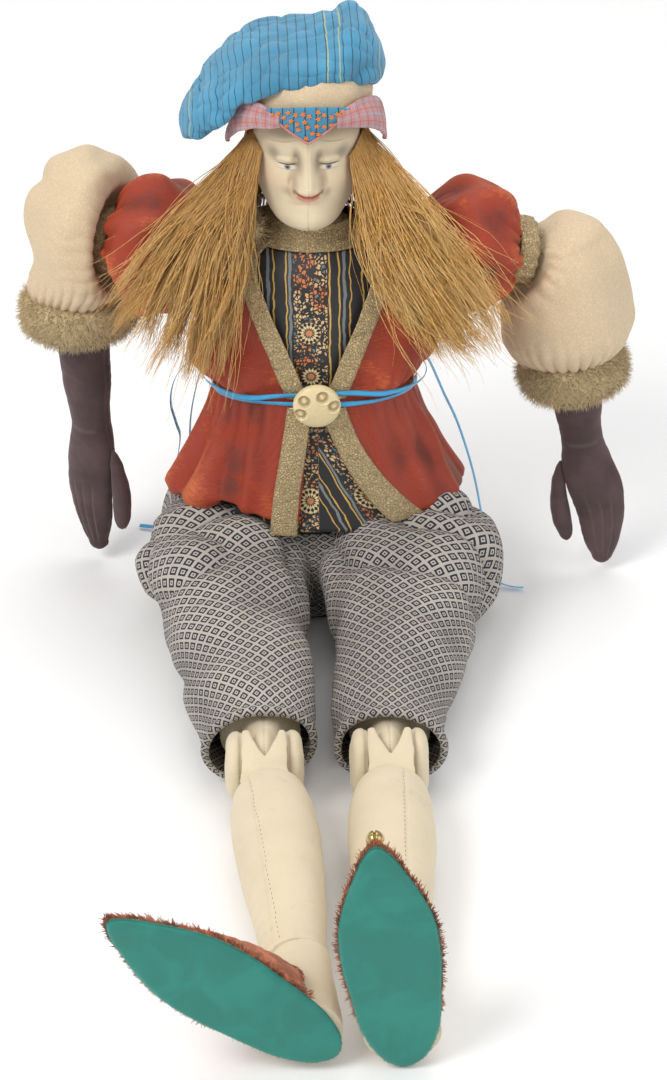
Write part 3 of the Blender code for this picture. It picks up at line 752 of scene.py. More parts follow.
@group("mottle")
def mottle(n):
    """Slow and quick unevenness of dye, and grubby wear. Millimetres."""
    vector, size = n.takes(("Vector", None), ("Size", 30.0))
    wide = n.vector("DIVIDE", vector, n.combine(size, size, size))
    n.gives(Slow=n.remap(n.noise(wide, 1.0, 3.0), 0.3, 0.7),
            Quick=n.noise(wide, 9.0, 4.0, 0.7),
            Wear=n.remap(n.noise(wide, 2.3, 5.0, 0.65, 0.5), 0.56, 0.74))


@group("stripe")
def stripe(n):
    """One repeat of a stripe: 1 on the stripe. Across and Vector are in millimetres."""
    across, vector, spacing, width, place, wander = n.takes(
        ("Across", 0.0), ("Vector", None), ("Spacing", 10.0),
        ("Width", 1.0), ("Place", 0.0), ("Wander", 0.0))
    drift = n.times(n.minus(n.noise(vector, 0.09, 2.0), 0.5), wander)
    shifted = n.math("ADD", n.minus(across, place), drift)
    part = n.minus(n.math("FRACT", n.math("ADD", n.math("DIVIDE", shifted, spacing), 0.5)), 0.5)
    distance = n.times(n.math("ABSOLUTE", part), spacing)
    half = n.times(width, 0.5)
    soft = n.math("ADD", half, 0.12)
    mask = n.remap(distance, half, soft, 1.0, 0.0)
    n.gives(Mask=mask)


@group("painted mark")
def painted_mark(n):
    """A soft oval on the face, seen from the front: centre and half size in millimetres."""
    vector, cx, cz, wide, tall, lean, soft = n.takes(
        ("Vector", None), ("Across", 0.0), ("Up", 0.0),
        ("Half width", 1.0), ("Half height", 1.0), ("Lean", 0.0),
        ("Softness", 0.3))
    x, _, z = n.split(vector)
    dx = n.minus(x, cx)
    dz = n.minus(n.minus(z, cz), n.times(dx, lean))
    reach = n.vector("LENGTH", n.combine(n.math("DIVIDE", dx, wide), n.math("DIVIDE", dz, tall), 0.0))
    inner = n.minus(1.0, soft)
    outer = n.math("ADD", 1.0, soft)
    n.gives(Mask=n.remap(reach, inner, outer, 1.0, 0.0))


@group("petals")
def petals(n):
    """Scattered small strokes, as in a printed or sewn flower ground. Millimetres."""
    vector, size, gap = n.takes(("Vector", None), ("Size", 2.0), ("Gap", 0.3))
    scale = n.math("DIVIDE", 1.0, size)
    bend = n.noise(vector, n.times(scale, 1.3), 1.0, output="Color")
    bent = n.vector("ADD", vector, n.vector("SCALE", bend, scale=size))
    edge = n.cells(bent, scale, "DISTANCE_TO_EDGE")
    tone = n.cells(bent, scale, "F1", "Color")
    n.gives(Mask=n.remap(edge, gap, n.math("ADD", gap, 0.06)), Tone=n.split(tone)[0])


@group("woven diamonds")
def woven_diamonds(n):
    """Nested diamonds of light thread on dark. Millimetres."""
    vector, repeat = n.takes(("Vector", None), ("Repeat", 6.6))
    ragged = n.vector("SUBTRACT", n.noise(vector, 2.2, 2.0, output="Color"), (0.5, 0.5, 0.5))
    ragged = n.vector("SCALE", ragged, scale=0.55)
    x, y, _ = n.split(n.vector("ADD", vector, ragged))
    x = n.math("DIVIDE", x, repeat)
    y = n.math("DIVIDE", y, repeat)
    reach = []
    for sign in ("ADD", "SUBTRACT"):
        part = n.minus(n.math("FRACT", n.math(sign, x, y)), 0.5)
        reach.append(n.math("ABSOLUTE", part))
    ring = n.times(n.math("MAXIMUM", *reach), 2.0)
    light = n.steps(ring, ((0.0, 0.05), (0.15, 0.95), (0.38, 0.02), (0.73, 0.9)))
    fx, fy, _ = n.split(vector)
    thread = n.times(n.math("SINE", n.times(fx, math.pi / 0.55)),
                    n.math("SINE", n.times(fy, math.pi / 0.55)))
    twist = n.math("MULTIPLY_ADD", thread, 0.5, 0.5)
    n.gives(Light=light, Thread=twist)


@group("brocade")
def brocade(n):
    """Metal braid: a low raised scroll with dull hollows and bright threads, and painted glints on the raised parts.
    Millimetres.
    """
    (vector,) = n.takes(("Vector", None))
    crackle = n.cells(vector, 0.55, "DISTANCE_TO_EDGE", "Distance")
    scroll = n.noise(vector, 0.35, 3.0, 0.6, 1.5)
    rib = n.ridges(n.split(vector)[1], 0.55)
    raised = n.times(n.remap(crackle, 0.02, 0.16, 0.3, 1.0), n.remap(scroll, 0.32, 0.62, 0.5, 1.0))
    glint = n.remap(n.noise(vector, 2.4, 3.0, 0.8), 0.56, 0.68)
    height = n.math("MULTIPLY_ADD", rib, 0.3, raised)
    n.gives(Raised=raised, Glint=n.times(glint, raised),
            Height=height)


# ---------------------------------------------------------------- the doll's finishes

FINISHES = {}


def finish_for(name):
    """The finish with this name, made the first time that it is asked for."""
    if name not in FINISHES:
        FINISHES[name] = FINISH_MAKERS[name](bpy.context.scene.doll_colours)
    return FINISHES[name]


def shade(colour, factor):
    return tuple(min(1.0, part * factor) for part in colour[:3])


def rust_velvet(colours):
    f = Finish("rust velvet", "rust_velvet", 0.75, Sheen_Weight=0.35, Sheen_Roughness=0.3,
               Sheen_Tint=(1.0, 0.36, 0.13, 1.0))
    nap = f.use(velvet_nap, Vector=f.doll, Patch_size=34.0)
    # Painted light and shade: deep is a shaded copy of the velvet for the valleys of the folds, and velvet_light is a
    # painted highlight for their ridges, chosen by the fold height and partly by the crushed nap.
    deep = shade(colours.velvet, 0.36)
    fold = f.attribute("fold")
    lit = f.math("MULTIPLY_ADD", fold, 0.78, f.times(nap["Patch"], 0.26))
    lit = f.times(lit, f.remap(nap["Streak"], 0.0, 1.0, 0.82, 1.08), clamp=True)
    colour = f.mix(f.remap(lit, -0.08, 0.48), deep, tuple(colours.velvet))
    colour = f.mix(f.remap(lit, 0.5, 1.0, 0.0, 0.8), colour, tuple(colours.velvet_light))
    # Painted shade in the grooves between the wales.
    colour = f.mix(f.remap(nap["Wale"], 0.0, 0.5, 0.22, 0.0), colour, deep)
    height = f.math("MULTIPLY_ADD", nap["Pile"], 0.5, f.times(nap["Wale"], 0.3))
    return f.done(colour, height, 0.5, 0.5, f.remap(nap["Patch"], 0.0, 1.0, 0.55, 0.75))


def gold_braid(colours):
    f = Finish("gold braid", "gold_trim", 0.45, Metallic=0.55)
    weave = f.use(brocade, Vector=f.doll)
    worn = f.use(mottle, Vector=f.doll, Size=9.0)
    colour = f.mix(weave["Raised"], shade(colours.braid, 0.33), tuple(colours.braid))
    # Painted glints: pale gold spotted over the raised threads as a painted highlight.
    colour = f.mix(f.times(weave["Glint"], 0.8), colour, (0.95, 0.82, 0.55))
    colour = f.mix(f.times(worn["Wear"], 0.75), colour, (0.16, 0.11, 0.06))
    metal = f.remap(weave["Raised"], 0.0, 1.0, 0.25, 0.7)
    f.put(f.shader.inputs["Metallic"], metal)
    return f.done(colour, weave["Height"], 0.5, 0.9, f.remap(weave["Raised"], 0.0, 1.0, 0.65, 0.36))


def striped_silk(colours):
    f = Finish("striped silk", "tunic_silk", 0.5, Sheen_Weight=0.15)
    x, _, z = f.split(f.doll)
    fall = f.times(f.remap(z, 155.0, 75.0, 0.0, 46.0, False), f.remap(x, 1.0, 1.5))
    x = f.minus(x, fall)
    flat = f.combine(x, 0.0, z)
    black = tuple(colours.silk)
    gold, grey = (0.62, 0.38, 0.09), (0.20, 0.22, 0.23)
    colour = f.mix(f.noise(flat, 2.0, 3.0), black, shade(colours.silk, 1.9))
    for place, width, tone, wander in (
            (-33, 0.8, gold, 5), (-28, 1.7, grey, 5), (-24.7, 0.8, gold, 5), (-17.2, 0.8, gold, 4),
            (-15, 1.5, grey, 4), (8.6, 0.9, gold, 3), (14.2, 0.8, gold, 4), (17.2, 1.7, grey, 4),
            (21, 0.8, gold, 5), (29, 0.8, gold, 5)):
        line = f.use(stripe, Across=x, Vector=flat, Spacing=400.0, Width=width, Place=float(place),
                     Wander=float(wander))
        broken = f.times(line["Mask"], f.remap(f.noise(flat, 1.4, 2.0), 0.32, 0.44, 0.45, 1.0))
        colour = f.mix(broken, colour, tone)
    panel = f.times(f.remap(x, -13.5, -12.5), f.remap(x, 6.5, 7.5, 1.0, 0.0))
    bloom = f.use(petals, Vector=flat, Size=2.3, Gap=0.13)
    flowers = f.times(f.times(bloom["Mask"], panel), f.remap(bloom["Tone"], 0.20, 0.26))
    warm = f.mix(f.remap(f.noise(flat, 0.05, 1.0), 0.42, 0.55), (0.62, 0.18, 0.045), (0.72, 0.50, 0.25))
    warm = f.mix(f.remap(bloom["Tone"], 0.86, 0.9), warm, (0.14, 0.20, 0.22))
    colour = f.mix(flowers, colour, warm)
    for cx, cz, reach in ((-4, 205, 7.5), (-3, 176, 6.5), (-4, 92, 8.5)):
        offset = f.vector("SUBTRACT", flat, (float(cx), 0.0, float(cz)))
        ox, _, oz = f.split(offset)
        distance = f.vector("LENGTH", offset)
        spoke = f.math("SINE", f.times(f.math("ARCTAN2", oz, ox), 15.0))
        rings = f.math("SINE", f.times(distance, 1.9))
        petal = f.times(f.remap(f.math("ADD", spoke, rings), -0.25, 0.15),
                       f.remap(distance, reach, reach - 1.0))
        clear = f.remap(distance, reach, reach + 0.6, 1.0, 0.0)
        colour = f.mix(clear, colour, black)
        colour = f.mix(petal, colour, (0.74, 0.56, 0.30))
        colour = f.mix(f.remap(distance, 1.2, 2.0, 1.0, 0.0), colour, (0.66, 0.20, 0.05))
    weave = f.use(plain_weave, Vector=f.doll, Pitch=0.45, Slub=0.2)
    return f.done(colour, weave["Height"], 0.12, 0.4)


def printed_cotton(colours):
    f = Finish("printed cream cotton", "cream_print", 0.85, Sheen_Weight=0.1)
    vector = f.doll
    curl = f.noise(vector, 0.32, 3.0, 0.55, 2.2)
    vine = f.remap(f.math("ABSOLUTE", f.minus(curl, 0.5)), 0.012, 0.05, 1.0, 0.0)
    dots = f.remap(f.cells(vector, 0.38), 0.16, 0.25, 1.0, 0.0)
    print_mask = f.math("MAXIMUM", vine, dots)
    pale = tuple(colours.cotton)
    colour = f.mix(f.times(print_mask, 0.75), shade(pale, 0.86), shade(pale, 1.08))
    tea = f.use(mottle, Vector=vector, Size=40.0)
    colour = f.mix(f.times(tea["Slow"], 0.20), colour, (0.62, 0.47, 0.29))
    weave = f.use(plain_weave, Vector=vector, Pitch=0.4, Slub=0.2)
    return f.done(colour, weave["Height"], 0.15, 0.35)


def ribbed_cream(name, slot, base, along_axis, pitch=0.85):
    """Cream stuffed cloth whose ribs run along an axis of the doll."""
    f = Finish(name, slot, 0.82, Sheen_Weight=0.2, Sheen_Roughness=0.5)
    x, y, z = f.split(f.doll)
    vector = f.combine(*{"y": (x, y, z), "z": (x, z, y), "across": (y, x, z)}[along_axis])
    rib = f.use(ribbed_knit, Vector=vector, Pitch=pitch)
    age = f.use(mottle, Vector=f.doll, Size=26.0)
    colour = f.mix(f.times(age["Slow"], 0.45), tuple(base), shade(base, 0.86))
    # Painted shade in the grooves of the ribs.
    colour = f.mix(f.times(rib["Groove"], 0.16), colour, shade(base, 0.62))
    colour = f.mix(f.times(age["Wear"], 0.22), colour, (0.50, 0.36, 0.18))
    colour = f.mix(f.remap(age["Quick"], 0.3, 0.8, 0.0, 0.10), colour, shade(base, 1.15))
    return f.done(colour, rib["Height"], 0.22, 0.45)


def suede(colours):
    f = Finish("glove suede", "glove_suede", 0.9, Sheen_Weight=0.25, Sheen_Roughness=0.45,
               Sheen_Tint=(0.75, 0.6, 0.62, 1.0))
    age = f.use(mottle, Vector=f.doll, Size=22.0)
    weave = f.use(plain_weave, Vector=f.cloth, Pitch=0.42, Slub=0.3)
    base = tuple(colours.suede)
    colour = f.mix(age["Slow"], shade(base, 0.75), shade(base, 1.3))
    fold = f.attribute("fold")
    colour = f.mix(f.times(fold, 0.5), colour, shade((0.13, 0.10, 0.075), 1.2))
    colour = f.mix(f.remap(weave["Fuzz"], 0.45, 0.8, 0.0, 0.35), colour, shade(base, 1.9))
    return f.done(colour, weave["Height"], 0.15, 0.4)


def hat_cloth(colours):
    f = Finish("striped hat cloth", "blue_stripe", 0.82, Sheen_Weight=0.2)
    y = f.split(f.cloth)[1]
    blue = tuple(colours.hat)
    tone = f.use(mottle, Vector=f.doll, Size=30.0)
    fold = f.attribute("fold")
    colour = f.mix(tone["Slow"], shade(blue, 0.85), shade(blue, 1.15))
    # Painted shade: the cloth darkens in the valleys of its folds, where the fold height is low.
    colour = f.mix(f.times(f.minus(1.0, fold), 0.45), colour, shade(blue, 0.5))
    dark = f.use(stripe, Across=y, Vector=f.cloth, Spacing=5.6, Width=0.55, Place=0.0, Wander=1.5)
    broken = f.remap(f.noise(f.cloth, 0.9, 2.0), 0.30, 0.42, 0.55, 1.0)
    colour = f.mix(f.times(f.times(dark["Mask"], broken), 0.9), colour, (0.015, 0.06, 0.09))
    lines = 0.0
    for place in (118.5, 126.5, 19.0):
        gold = f.use(stripe, Across=y, Vector=f.cloth, Spacing=140.0, Width=0.7, Place=place, Wander=1.5)
        lines = f.math("MAXIMUM", gold["Mask"], lines)
    colour = f.mix(f.times(lines, 0.8), colour, (0.45, 0.45, 0.14))
    weave = f.use(plain_weave, Vector=f.cloth, Pitch=0.5, Slub=0.4)
    colour = f.mix(f.remap(weave["Fuzz"], 0.5, 0.8, 0.0, 0.3), colour, shade(blue, 1.5))
    return f.done(colour, weave["Height"], 0.2, 0.5)


def plaid_cloth(colours):
    f = Finish("pink plaid cloth", "pink_plaid", 0.85, Sheen_Weight=0.2)
    x, y, _ = f.split(f.cloth)
    pink = tuple(colours.plaid)
    tone = f.use(mottle, Vector=f.doll, Size=15.0)
    weave = f.use(plain_weave, Vector=f.cloth, Pitch=0.5, Slub=0.3)
    colour = f.mix(tone["Slow"], shade(pink, 0.85), shade(pink, 1.15))
    for axis, spacing, place, width, tint in (
            (x, 7.0, 1.0, 0.9, (0.26, 0.42, 0.55)), (y, 8.0, 2.0, 0.9, (0.26, 0.42, 0.55)),
            (x, 7.0, 4.0, 0.5, (0.30, 0.08, 0.09)), (y, 8.0, 5.5, 0.6, (0.36, 0.12, 0.12))):
        line = f.use(stripe, Across=axis, Vector=f.cloth, Spacing=spacing, Width=width, Place=place, Wander=0.8)
        colour = f.mix(f.times(line["Mask"], 0.6), colour, tint)
    colour = f.mix(f.remap(weave["Fuzz"], 0.5, 0.8, 0.0, 0.35), colour, shade(pink, 1.5))
    return f.done(colour, weave["Height"], 0.2, 0.5)


def badge_cloth(colours):
    f = Finish("badge ground", "badge_stitch", 0.8)
    x = f.split(f.doll)[0]
    blue = shade(colours.hat, 1.0)
    weave = f.use(plain_weave, Vector=f.doll, Pitch=0.5, Slub=0.3)
    line = f.use(stripe, Across=x, Vector=f.doll, Spacing=6.4, Width=0.7, Place=0.5, Wander=0.5)
    colour = f.mix(f.noise(f.doll, 0.5, 3.0), shade(blue, 0.8), shade(blue, 1.2))
    colour = f.mix(f.times(line["Mask"], 0.85), colour, (0.02, 0.05, 0.08))
    return f.done(colour, weave["Height"], 0.2, 0.5)


def diamond_cloth(colours):
    f = Finish("diamond weave", "diamond_weave", 0.9)
    pattern = f.use(woven_diamonds, Vector=f.cloth, Repeat=8.2)
    tone = f.use(mottle, Vector=f.doll, Size=35.0)
    light, dark = tuple(colours.weave_light), tuple(colours.weave_dark)
    thread = f.remap(pattern["Thread"], 0.0, 1.0, 0.62, 1.0)
    bright = f.mix(thread, shade(light, 0.55), light)
    colour = f.mix(f.remap(pattern["Light"], 0.2, 0.8), dark, bright)
    colour = f.mix(f.times(tone["Wear"], 0.16), colour, (0.30, 0.25, 0.20))
    # Painted shade: near-black in the valleys of the folds, where the fold height is low.
    fold = f.attribute("fold")
    colour = f.mix(f.times(f.minus(1.0, fold), 0.35), colour, (0.01, 0.01, 0.012))
    height = f.math("MULTIPLY_ADD", pattern["Thread"], 0.55, f.times(pattern["Light"], 0.35))
    return f.done(colour, height, 0.4, 0.6)


def teal_velvet(colours):
    f = Finish("teal velvet", "teal_velvet", 0.75, Sheen_Weight=0.5, Sheen_Roughness=0.4,
               Sheen_Tint=(0.35, 0.9, 0.78, 1.0))
    nap = f.use(velvet_nap, Vector=f.doll, Patch_size=26.0)
    base = tuple(colours.sole)
    worn = f.use(mottle, Vector=f.doll, Size=34.0)
    colour = f.mix(nap["Patch"], shade(base, 0.86), shade(base, 1.08))
    colour = f.mix(f.times(worn["Wear"], 0.25), colour, (0.055, 0.135, 0.09))
    colour = f.mix(f.remap(nap["Pile"], 0.42, 0.7, 0.0, 0.4), colour, shade(base, 1.55))
    return f.done(colour, nap["Pile"], 0.5, 0.5)


def shoe_velvet(colours):
    f = Finish("shoe velvet", "shoe_velvet", 0.8, Sheen_Weight=0.5, Sheen_Tint=(1.0, 0.5, 0.35, 1.0))
    nap = f.use(velvet_nap, Vector=f.doll, Patch_size=9.0)
    base = tuple(colours.shoe)
    colour = f.mix(nap["Patch"], shade(base, 0.5), shade(base, 1.5))
    colour = f.mix(f.remap(nap["Pile"], 0.45, 0.7, 0.0, 0.5), colour, shade(base, 2.1))
    return f.done(colour, nap["Pile"], 0.5, 0.6)


def satin_ribbon(colours):
    f = Finish("satin ribbon", "blue_ribbon", 0.32, Sheen_Weight=0.1, Coat_Weight=0.15)
    thread = f.ridges(f.split(f.cloth)[1], 0.35)
    base = tuple(colours.ribbon)
    colour = f.mix(f.noise(f.doll, 0.12, 2.0), shade(base, 0.6), shade(base, 1.35))
    colour = f.mix(f.times(thread, 0.2), colour, shade(base, 1.7))
    return f.done(colour, thread, 0.05, 0.4)


def mohair(colours):
    f = Finish("golden mohair", "mohair", 0.5, Specular_IOR_Level=0.35, Sheen_Weight=0.2,
               Sheen_Tint=(1.0, 0.8, 0.5, 1.0))
    x, y, z = f.split(f.doll)
    base = tuple(colours.hair)
    strand = f.noise(f.combine(x, f.times(y, 0.7), f.times(z, 0.14)), 0.9, 4.0, 0.7)
    lock = f.noise(f.doll, 0.055, 2.0, 0.5, 0.8)
    # Painted shade: the hair darkens towards its top, near the head.
    upper_shade = f.remap(z, 255.0, 315.0)
    colour = f.mix(f.remap(strand, 0.3, 0.7), shade(base, 0.5), shade(base, 1.25))
    colour = f.mix(f.remap(lock, 0.35, 0.65, 0.0, 0.6), colour, (0.74, 0.50, 0.21))
    colour = f.mix(f.times(upper_shade, 0.5), colour, (0.50, 0.24, 0.055))
    return f.done(colour)


def fur(colours):
    f = Finish("rabbit fur", "fur", 0.75, Sheen_Weight=0.3, Sheen_Tint=(1.0, 0.9, 0.7, 1.0))
    base = tuple(colours.fur)
    colour = f.mix(f.noise(f.doll, 0.12, 3.0), shade(base, 0.62), shade(base, 1.3))
    colour = f.mix(f.remap(f.noise(f.doll, 1.1, 3.0), 0.4, 0.7, 0.0, 0.7), colour, shade(base, 1.7))
    return f.done(colour)


def button_horn(colours):
    f = Finish("carved button", "button_horn", 0.3, Coat_Weight=0.3, Subsurface_Weight=0.15,
               Subsurface_Scale=0.003)
    fold = f.attribute("fold")
    base = tuple(colours.button)
    colour = f.mix(f.noise(f.doll, 0.2, 3.0, 0.6, 0.8), shade(base, 0.9), shade(base, 1.12))
    colour = f.mix(fold, colour, (0.36, 0.25, 0.11))
    return f.done(colour, f.noise(f.doll, 0.9, 2.0), 0.08, 0.2, f.remap(fold, 0.0, 1.0, 0.26, 0.5))


def bell_brass(colours):
    f = Finish("bell brass", "brass", 0.3, Metallic=1.0)
    base = tuple(colours.brass)
    age = f.use(mottle, Vector=f.doll, Size=4.0)
    colour = f.mix(age["Slow"], shade(base, 0.75), shade(base, 1.15))
    colour = f.mix(f.times(age["Wear"], 0.7), colour, (0.10, 0.065, 0.03))
    return f.done(colour, age["Quick"], 0.05, 0.2, f.remap(age["Wear"], 0.0, 1.0, 0.25, 0.55))


def plain_thread(name, slot, colour):
    f = Finish(name, slot, 0.8)
    tone = f.mix(f.noise(f.doll, 1.2, 2.0), shade(colour, 0.65), shade(colour, 1.35))
    return f.done(tone)


FINISH_MAKERS = {
    "rust velvet": rust_velvet,
    "gold braid": gold_braid,
    "striped silk": striped_silk,
    "printed cotton": printed_cotton,
    "leg cotton": lambda c: ribbed_cream("ribbed leg cotton", "body_cloth", c.cloth, "across", 1.0),
    "body cotton": lambda c: ribbed_cream("ribbed body cotton", "body_cloth", c.cloth, "z", 1.0),
    "glove suede": suede,
    "hat cloth": hat_cloth,
    "plaid cloth": plaid_cloth,
    "badge cloth": badge_cloth,
    "diamond cloth": diamond_cloth,
    "teal velvet": teal_velvet,
    "shoe velvet": shoe_velvet,
    "satin ribbon": satin_ribbon,
    "mohair": mohair,
    "fur": fur,
    "button": button_horn,
    "brass": bell_brass,
    "brown thread": lambda c: plain_thread("brown thread", "body_cloth", (0.28, 0.17, 0.08)),
    "dark thread": lambda c: plain_thread("dark thread", "teal_velvet", (0.035, 0.04, 0.045)),
    "cream thread": lambda c: plain_thread("cream thread", "face_cloth", (0.60, 0.46, 0.28)),
    "red thread": lambda c: plain_thread("rust thread", "glove_suede", (0.26, 0.07, 0.035)),
    "orange thread": lambda c: plain_thread("orange embroidery", "badge_stitch", (0.75, 0.22, 0.04)),
    "pink thread": lambda c: plain_thread("pink piping", "pink_plaid", (0.55, 0.22, 0.20)),
}


# ---------------------------------------------------------------- the doll's measures

SHOULDER = {side: doll_place(JOINT_PLACE[f"shoulder_lift_{side}"]) for side in SIDES}
ELBOW = {side: doll_place(JOINT_PLACE[f"elbow_{side}"]) for side in SIDES}
HIP = {side: doll_place(JOINT_PLACE[f"hip_{side}"]) for side in SIDES}
KNEE = {side: doll_place(JOINT_PLACE[f"knee_{side}"]) for side in SIDES}
ANKLE = {side: doll_place(JOINT_PLACE[f"ankle_{side}"]) for side in SIDES}
OUT = {side: (ELBOW[side] - SHOULDER[side]).normalized() for side in SIDES}
DOWN = {"left": Vector((35, -9, -223)).normalized(), "right": Vector((9, -6, -229)).normalized()}
HAND_WIDTH = {"left": (1.0, 0.0, 0.0), "right": (-0.8, 0.6, 0.0)}
TOE = {"left": Vector((-0.117, 0.0, 0.993)).normalized(), "right": Vector((-0.773, 0.0, 0.635)).normalized()}
CUFF_PLACE = {"left": 79, "right": 48}
CUFF_RADIUS = {"left": 36, "right": 39}

TRUNK = [(58, 4, 82, 46), (76, 2, 70, 46), (100, 0, 60, 45), (128, 0, 56, 44), (156, 0, 54, 43),
         (190, 0, 55, 42), (220, 0, 56, 39), (240, 2, 52, 34), (250, 3, 42, 27), (256, 4, 27, 23)]
WAIST_HEIGHT = 158
SOLE_TOP_Y = -453
SOLE_LENGTH = 145
SOLE_HALF_WIDTH = 25
HEEL_BACK = 22
GLOVE_LENGTH = 226
CAMERA_TARGET = (11.0, -32.9, 50.0)
HEAD_SIDE = -4.0               # how far the head sits towards the doll's right
FACE_RISE = 10.5

RIBBON_TAILS = {
    "ribbon_tail_left": [
        (69, 18, 154), (74, 26, 146), (84, 30, 120), (94, 30, 96), (104, 22, 64), (110, 8, 34),
        (113, -6, 14), (115, -14, 7), (121, -17, 3.4), (128, -19, 2.0), (135, -20, 2.0)],
    "ribbon_tail_right": [
        (-69, 18, 154), (-80, 24, 148), (-88, 28, 134), (-91, 30, 117), (-88, 32, 100),
        (-86, 40, 84), (-90, 48, 56), (-95, 52, 28), (-99, 56, 10), (-106, 60, 3.0), (-116, 63, 2.0)],
    "ribbon_loop_right": [
        (-66, 24, 152), (-71, 30, 140), (-76, 35, 118), (-79, 42, 96), (-80, 50, 72), (-80, 55, 50)],
}


def rides_on(piece, body, slot, *nodes):
    """Fix a finished piece to a body, in place of the named frame solids."""
    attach(piece, body)
    if nodes:
        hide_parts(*nodes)
    return piece


def bends_between(piece, first, second, start, end, slot, *nodes):
    """Bake a piece's place into its mesh and hide the named frame solids. The piece is fixed to no body."""
    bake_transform(piece)
    if nodes:
        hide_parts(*nodes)
    return piece


def put_fold(piece, values):
    """Keep how high each point stands on its fold, for the finish to read; the hat and trouser finishes paint shade in
    its valleys from it, and the velvet also paints light on its ridges.
    """
    layer = piece.data.attributes.new("fold", "FLOAT", "POINT")
    flat = np.ones(len(piece.data.vertices), np.float32)
    values = np.clip(np.asarray(values, np.float32).ravel(), 0, 1)
    flat[:len(values)] = values
    layer.data.foreach_set("value", flat)
    return piece


def size_at(height):
    """Middle, half width and half depth of the trunk."""
    return between(TRUNK, height)


def round_trunk(heights, turns, offset):
    """A grid round the trunk: degrees from the front, towards the doll's left, and an offset."""
    middle, wide, deep = size_at(heights).T
    turns = np.radians(turns)
    offset = np.broadcast_to(offset, turns.shape)
    return np.stack([(wide[:, None] + offset) * np.sin(turns),
                     middle[:, None] - (deep[:, None] + offset) * np.cos(turns),
                     np.broadcast_to(heights[:, None], turns.shape)], axis=-1)


# ---------------------------------------------------------------- cords and stage

def make_ribbons(settings):
    """The belt's free ends: flat satin ribbon, each on one smooth route."""
    satin = finish_for("satin ribbon")
    NODES["ribbon_bead"].data.materials.clear()
    NODES["ribbon_bead"].data.materials.append(finish_for("button"))
    for name, corners in RIBBON_TAILS.items():
        route = smooth_route(corners, parts=5)
        twist = np.linspace(0, 1, len(route))
        grid = tube_grid(route, settings.ribbon_width / MM / 2, 0.22, 12, near=(0.3, 1, 0.1), power=3.0)
        piece = skin(name, grid, satin, cap_start=True, cap_end=True)
        put_fold(piece, np.repeat(twist, 12))
        rides_on(piece, "torso", "blue_ribbon", name)


def make_stage(settings):
    """A pale floor that curves up behind, soft lights and the camera."""
    heights = np.linspace(0, 1, 40)
    profile = []
    for part in heights:
        turn = max(0.0, (part - 0.55) / 0.45) * math.pi / 2
        run = -2600 + part / 0.55 * 4200 if part < 0.55 else 1600 + 900 * math.sin(turn)
        rise = 0 if part < 0.55 else 900 * (1 - math.cos(turn))
        profile.append((run, rise - 0.4))
    profile.append((2500, 3200))
    grid = np.array([[(x, y, z) for x in np.linspace(-3600, 3600, 12)] for y, z in profile])
    floor = Finish("pale paper", None, 0.95)
    paper = floor.done(floor.mix(floor.noise(floor.doll, 0.01), (0.90, 0.90, 0.90), (0.93, 0.93, 0.93)))
    backdrop = skin("backdrop", grid, paper, close=False)

    scene = bpy.context.scene
    scene.view_settings.view_transform = "Standard"
    world = bpy.data.worlds.new("soft room")
    world.use_nodes = True
    world.node_tree.nodes["Background"].inputs["Color"].default_value = (1.0, 1.0, 1.0, 1.0)
    world.node_tree.nodes["Background"].inputs["Strength"].default_value = settings.room_light
    scene.world = world
    target = at(CAMERA_TARGET)
    for name, place, size, power, tint in (
            ("key light", (-1.3, -1.0, 1.9), 1.1, settings.key_light, (1.0, 0.985, 0.96)),
            ("fill light", (1.6, -0.9, 1.3), 1.8, settings.key_light * 0.35, (0.96, 0.98, 1.0)),
            ("top light", (0.2, 0.7, 2.2), 1.6, settings.key_light * 0.45, (1.0, 1.0, 1.0))):
        light = bpy.data.lights.new(name, "AREA")
        light.shape = "DISK"
        light.size = size
        light.energy = power
        light.color = tint
        lamp = bpy.data.objects.new(name, light)
        lamp.location = place
        lamp.rotation_euler = (target - Vector(place)).to_track_quat("-Z", "Y").to_euler()
        scene.collection.objects.link(lamp)

    turn, rise = math.radians(settings.camera_turn), math.radians(settings.camera_rise)
    back = Vector((math.sin(turn) * math.cos(rise), -math.cos(turn) * math.cos(rise), math.sin(rise)))
    camera_data = bpy.data.cameras.new("camera")
    camera_data.lens = settings.camera_lens
    camera_data.sensor_width = 36
    camera = bpy.data.objects.new("camera", camera_data)
    camera.location = target + back * settings.camera_distance
    camera.rotation_euler = (-back).to_track_quat("-Z", "Y").to_euler()
    scene.collection.objects.link(camera)
    scene.camera = camera


# ---------------------------------------------------------------- trunk and jacket

def make_trunk(settings):
    cotton = finish_for("body cotton")
    for node, body in [("torso_body", "torso")] + [
            (f"{part}_{side}", body.format(side)) for side in SIDES
            for part, body in (("shoulder_cap", "shoulder_{}"), ("upper_arm", "upper_arm_{}"))]:
        piece = stuffed_copy(node, f"stuffed_{node}", cotton, 3.0 if node == "torso_body" else 2.0)
        rides_on(piece, body, "body_cloth", node)


def peplum_radius(heights, turns):
    """How far the jacket's skirt stands out at each height and angle."""
    fall = np.clip((WAIST_HEIGHT - heights) / (WAIST_HEIGHT - 80), 0, 1.15) ** 1.6
    _, wide, deep = size_at(np.array([WAIST_HEIGHT]))[0]
    fall = fall[:, None]
    side = np.sin(np.radians(turns))
    flare = 8 * fall * step_up(side, 0.35, 0.95)
    return wide + 3.6 + 26 * fall + flare, deep + 3.6 + 12 * fall, -1 * fall


